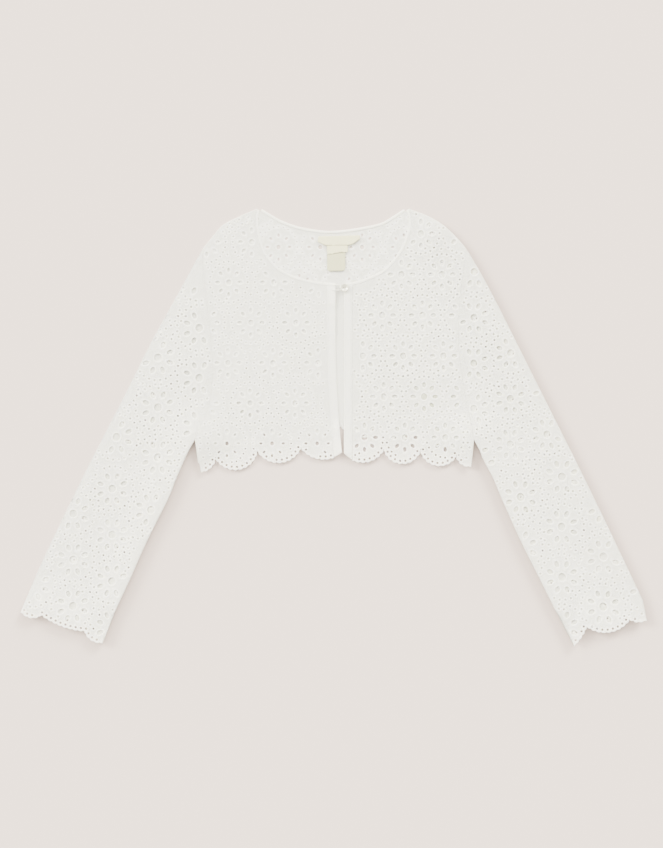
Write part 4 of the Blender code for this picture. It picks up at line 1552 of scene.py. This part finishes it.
def make_button(pearl):
    """A pearl button turned on an upright axis: a domed rim round a dished face with two thread
    holes sunk in, on a short stem. Radius and height are functions of the way along it. Its face
    gets a painted highlight, and painted shade in and round the holes."""
    foot = float(upper_underside(np.array([BUTTON_PLACE]))[0]) + BUTTON_FOOT
    way = np.concatenate([BUTTON_RINGS, np.linspace(*DISH_RINGS)])
    radius = np.interp(way, BUTTON_PROFILE["way"], BUTTON_PROFILE["radius"])
    height = foot + BUTTON_HEAD + np.interp(way, BUTTON_PROFILE["way"], BUTTON_PROFILE["height"])
    angle = 2 * math.pi * np.arange(BUTTON_SIDES) / BUTTON_SIDES
    x = radius[:, None] * np.cos(angle)
    y = radius[:, None] * np.sin(angle)
    on_face = (way > FACE_FROM)[:, None]
    holes_and_painted_shade = np.zeros_like(x)
    for hole in THREAD_HOLES:
        holes_and_painted_shade += np.exp(-(((x - hole) ** 2 + y ** 2) / HOLE_SPREAD) ** 1.5) * on_face
    # Painted shade round the thread holes
    shade = FACE_SHADE * np.exp(-(x ** 2 + y ** 2) / FACE_SHADE_SPREAD) * on_face
    # A painted highlight on the face
    spot_x, spot_y = PAINTED_HIGHLIGHT_SPOT
    painted_highlight = np.exp(-((x - spot_x) ** 2 + (y - spot_y) ** 2) / PAINTED_HIGHLIGHT_SPREAD) * on_face
    points = np.column_stack([(x + BUTTON_PLACE[0]).ravel(), (y + BUTTON_PLACE[1]).ravel(),
                              (height[:, None] - holes_and_painted_shade).ravel()])
    made = mesh_piece("pearl_button", points, ring_quads(len(way), BUTTON_SIDES), pearl,
                      {"holes_and_painted_shade": np.maximum(holes_and_painted_shade, shade).ravel(), "painted_highlight": painted_highlight.ravel()})
    weld(made)
    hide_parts("button")


def make_button_loop(thread):
    """The loop: a twisted thread from the right band round the button's stem and back. It rises as
    half a sine, and its thickness follows the twist as a sine."""
    x = np.concatenate([LOOP_HALF["x"], LOOP_HALF["x"][-2::-1]])
    above = np.concatenate([LOOP_HALF["above"], -LOOP_HALF["above"][-2::-1]])
    line = smooth_curve(x, BUTTON_PLACE[1] + above, LOOP_STEP)
    along = np.linspace(0, 1, len(line))
    z = upper_underside(line) + LOOP_LOWEST + LOOP_RISE * np.sin(math.pi * along)
    profile = rounded_profile(THREAD_WIDTH, THREAD_WIDTH, THREAD_SIDES, ROUND)
    swell = 1 + TWIST_DEPTH * np.sin(along * len(line) * TWIST)
    points, faces = carried_profile(np.column_stack([line, z]), profile, swell)
    made = mesh_piece("thread_loop", points, faces, thread)
    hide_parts("button_loop")


# Finishes

def finish_nodes(name):
    """A material with its Principled shader, its node tree and the Object coordinates."""
    made = bpy.data.materials.new(name)
    made.use_nodes = True
    nodes = made.node_tree.nodes
    shader = nodes["Principled BSDF"]
    place = nodes.new("ShaderNodeTexCoord").outputs["Object"]
    return made, made.node_tree, shader, place


def noise(tree, place, scale, detail):
    """A noise texture on the object's own coordinates."""
    made = tree.nodes.new("ShaderNodeTexNoise")
    made.inputs["Scale"].default_value = scale
    made.inputs["Detail"].default_value = detail
    tree.links.new(place, made.inputs["Vector"])
    return made.outputs["Fac"]


def threads(tree, place, direction, pitch):
    """Fine parallel threads of a weave, a given pitch apart in metres: a wave texture, its scale a
    full turn over twenty pitches."""
    made = tree.nodes.new("ShaderNodeTexWave")
    made.bands_direction = direction
    made.inputs["Scale"].default_value = 2 * math.pi / (20 * pitch)
    made.inputs["Distortion"].default_value = 0.6
    made.inputs["Detail"].default_value = 1.0
    tree.links.new(place, made.inputs["Vector"])
    return made.outputs["Fac"]


def worked(tree, operation, first, second):
    """A maths node on two values, each an output or a number."""
    made = tree.nodes.new("ShaderNodeMath")
    made.operation = operation
    for socket, value in zip(made.inputs, (first, second)):
        if isinstance(value, (int, float)):
            socket.default_value = value
        else:
            tree.links.new(value, socket)
    return made.outputs[0]


def named_value(tree, name):
    """A value that the mesh holds for each corner under a name."""
    made = tree.nodes.new("ShaderNodeAttribute")
    made.attribute_name = name
    return made.outputs["Fac"]


def blended(tree, share, first, second):
    """A colour between two colours, by a share."""
    made = tree.nodes.new("ShaderNodeMix")
    made.data_type = "RGBA"
    tree.links.new(share, made.inputs[0])
    for socket, colour in ((made.inputs[6], first), (made.inputs[7], second)):
        if isinstance(colour, tuple):
            socket.default_value = (*colour, 1.0)
        else:
            tree.links.new(colour, socket)
    return made.outputs[2]


def spread_over(tree, value, low, high):
    """A value from 0 to 1 spread between two numbers."""
    made = tree.nodes.new("ShaderNodeMapRange")
    made.inputs["To Min"].default_value = low
    made.inputs["To Max"].default_value = high
    tree.links.new(value, made.inputs["Value"])
    return made.outputs[0]


def bump(tree, shader, height, distance):
    """Raises a height onto the shader's normal, over a distance in metres."""
    made = tree.nodes.new("ShaderNodeBump")
    made.inputs["Distance"].default_value = distance
    made.inputs["Strength"].default_value = 1.0
    tree.links.new(height, made.inputs["Height"])
    tree.links.new(made.outputs[0], shader.inputs["Normal"])


def cloth_finish(name, stitched=False):
    """Off-white woven cloth: a fine weave with fuzz and lumps, slightly uneven in colour. Where it
    is stitched it is brighter on the stitching, and it takes painted shade between the layers."""
    base, shade, pitch = CLOTHS[name]
    made, tree, shader, place = finish_nodes(name)
    weave = worked(tree, "MULTIPLY", threads(tree, place, "X", pitch),
                   threads(tree, place, "Y", pitch))
    fuzz = noise(tree, place, *FUZZ)
    height = worked(tree, "ADD", worked(tree, "MULTIPLY", weave, WEAVE_SHARE), fuzz)
    lumps = noise(tree, place, *LUMPS)
    height = worked(tree, "ADD", height, worked(tree, "MULTIPLY", lumps, LUMP_SHARE))
    bump(tree, shader, height, CLOTH_BUMP)
    mottle = spread_over(tree, noise(tree, place, *MOTTLE), *MOTTLE_SPREAD)
    colour = blended(tree, mottle, shade, base)
    if stitched:
        colour = blended(tree, named_value(tree, "crest"), colour, STITCH_SATIN)
        # Painted shade: darker olive where the layers hide each other
        colour = blended(tree, named_value(tree, "painted_shade_between"), colour, PAINTED_SHADE_BETWEEN_LAYERS)
    tree.links.new(colour, shader.inputs["Base Color"])
    tree.links.new(spread_over(tree, fuzz, *CLOTH_ROUGHNESS), shader.inputs["Roughness"])
    shader.inputs["Subsurface Weight"].default_value = CLOTH_TRANSLUCENCY
    shader.inputs["Subsurface Radius"].default_value = CLOTH_GLOW_COLOUR
    shader.inputs["Subsurface Scale"].default_value = 0.0016
    shader.inputs["Sheen Weight"].default_value = 0.12
    shader.inputs["Sheen Roughness"].default_value = 0.5
    shader.inputs["Specular IOR Level"].default_value = 0.25
    return made


def ribbon_finish(name):
    """Soft ivory ribbon with fine cross ribs, mottled between a shade and a base colour."""
    shade, base = RIBBONS[name]
    made, tree, shader, place = finish_nodes(name)
    ribs = threads(tree, place, "Y", RIBBON_RIBS)
    bump(tree, shader, ribs, RIBBON_BUMP)
    colour = blended(tree, noise(tree, place, *RIBBON_MOTTLE), shade, base)
    tree.links.new(colour, shader.inputs["Base Color"])
    tree.links.new(spread_over(tree, ribs, *RIBBON_ROUGHNESS), shader.inputs["Roughness"])
    shader.inputs["Sheen Weight"].default_value = 0.1
    return made


def pearl_finish(name):
    """Pearl: pale, glossy, with cloudy bands of warm and cool, a painted highlight, and dark thread
    with painted shade in and round the thread holes."""
    made, tree, shader, place = finish_nodes(name)
    clouds = noise(tree, place, *CLOUDS)
    colour = blended(tree, clouds, *PEARL_CLOUDS)
    # A painted highlight, then the thread holes darkened with painted shade
    colour = blended(tree, named_value(tree, "painted_highlight"), colour, PEARL_PAINTED_HIGHLIGHT)
    colour = blended(tree, named_value(tree, "holes_and_painted_shade"), colour, PEARL_HOLE_THREAD_AND_SHADE)
    tree.links.new(colour, shader.inputs["Base Color"])
    tree.links.new(spread_over(tree, clouds, *PEARL_ROUGHNESS), shader.inputs["Roughness"])
    shader.inputs["IOR"].default_value = 1.6
    shader.inputs["Coat Weight"].default_value = 1.0
    shader.inputs["Coat Roughness"].default_value = 0.08
    bump(tree, shader, clouds, PEARL_BUMP)
    return made


def floor_finish(name):
    """Plain pale paper, quite matt."""
    made, _, shader, _ = finish_nodes(name)
    shader.inputs["Base Color"].default_value = (*FLOOR_COLOUR, 1.0)
    shader.inputs["Roughness"].default_value = 1.0
    shader.inputs["Specular IOR Level"].default_value = 0.0
    return made


# The photograph's light, camera and floor

def make_stage():
    """A plain pale floor just under the garment."""
    half, low = FLOOR_REACH * MM, -FLOOR_DEPTH * MM
    corners = [(-half, -half, low), (half, -half, low), (half, half, low), (-half, half, low)]
    mesh = bpy.data.meshes.new("floor")
    mesh.from_pydata(corners, [], [(0, 1, 2, 3)])
    mesh.materials.append(floor_finish("pale_floor"))
    floor = bpy.data.objects.new("floor", mesh)
    bpy.context.scene.collection.objects.link(floor)
    floor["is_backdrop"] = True


def make_sun(name, direction, elevation, spread, strength):
    """A sun lamp shining from a compass direction at a height above the horizon, in degrees."""
    lamp = bpy.data.lights.new(name, "SUN")
    lamp.energy = strength
    lamp.color = LIGHT_COLOUR
    lamp.angle = math.radians(spread)
    made = bpy.data.objects.new(name, lamp)
    rise = math.radians(elevation)
    flat = Vector((*direction, 0)).normalized() * math.cos(rise)
    towards = Vector((flat.x, flat.y, math.sin(rise)))
    made.rotation_mode = "QUATERNION"
    made.rotation_quaternion = towards.to_track_quat("Z", "Y")
    bpy.context.scene.collection.objects.link(made)


def make_lights():
    """Two low soft keys from the upper left and the upper right, a soft overhead light and an
    even surround."""
    for lamp in LAMPS:
        make_sun(*lamp)
    world = bpy.data.worlds.new("surround")
    world.use_nodes = True
    world.node_tree.nodes["Background"].inputs["Color"].default_value = (*LIGHT_COLOUR, 1)
    world.node_tree.nodes["Background"].inputs["Strength"].default_value = WORLD_STRENGTH
    bpy.context.scene.world = world


def make_camera():
    """Straight above the middle of the photograph's frame, with a long lens that just takes in
    its height: the sensor's width times the camera's height over the frame's."""
    camera = bpy.data.cameras.new("camera")
    camera.sensor_width = SENSOR
    camera.lens = SENSOR * CAMERA_HEIGHT / (PHOTO_PIXELS[1] * PIXEL)
    camera.clip_end = CAMERA_REACH * MM
    made = bpy.data.objects.new("camera", camera)
    x = (PHOTO_PIXELS[0] / 2 - PHOTO_ORIGIN[0]) * PIXEL
    y = (PHOTO_ORIGIN[1] - PHOTO_PIXELS[1] / 2) * PIXEL
    made.location = (x * MM, y * MM, CAMERA_HEIGHT * MM)
    bpy.context.scene.collection.objects.link(made)
    bpy.context.scene.camera = made


def main():
    """Every piece in turn, from one row of random draws, and then the photograph's setting."""
    cloth = cloth_finish("eyelet_cloth", stitched=True)
    trim = cloth_finish("plain_trim")
    thread = cloth_finish("sewing_thread")
    draw = np.random.default_rng(SEED)
    make_back(cloth, draw)
    for side in ("right", "left"):
        make_front(side, cloth, draw)
        make_sleeve(side, cloth, draw)
        make_band(side, trim, thread)
    make_bindings(trim)
    make_labels(ribbon_finish("label_ribbon"), ribbon_finish("tab_ribbon"))
    make_button(pearl_finish("pearl"))
    make_button_loop(thread)
    make_stage()
    make_lights()
    make_camera()


main()
boxes = [[list(corner) for corner in box] for box in (CAD_BOX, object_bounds())]
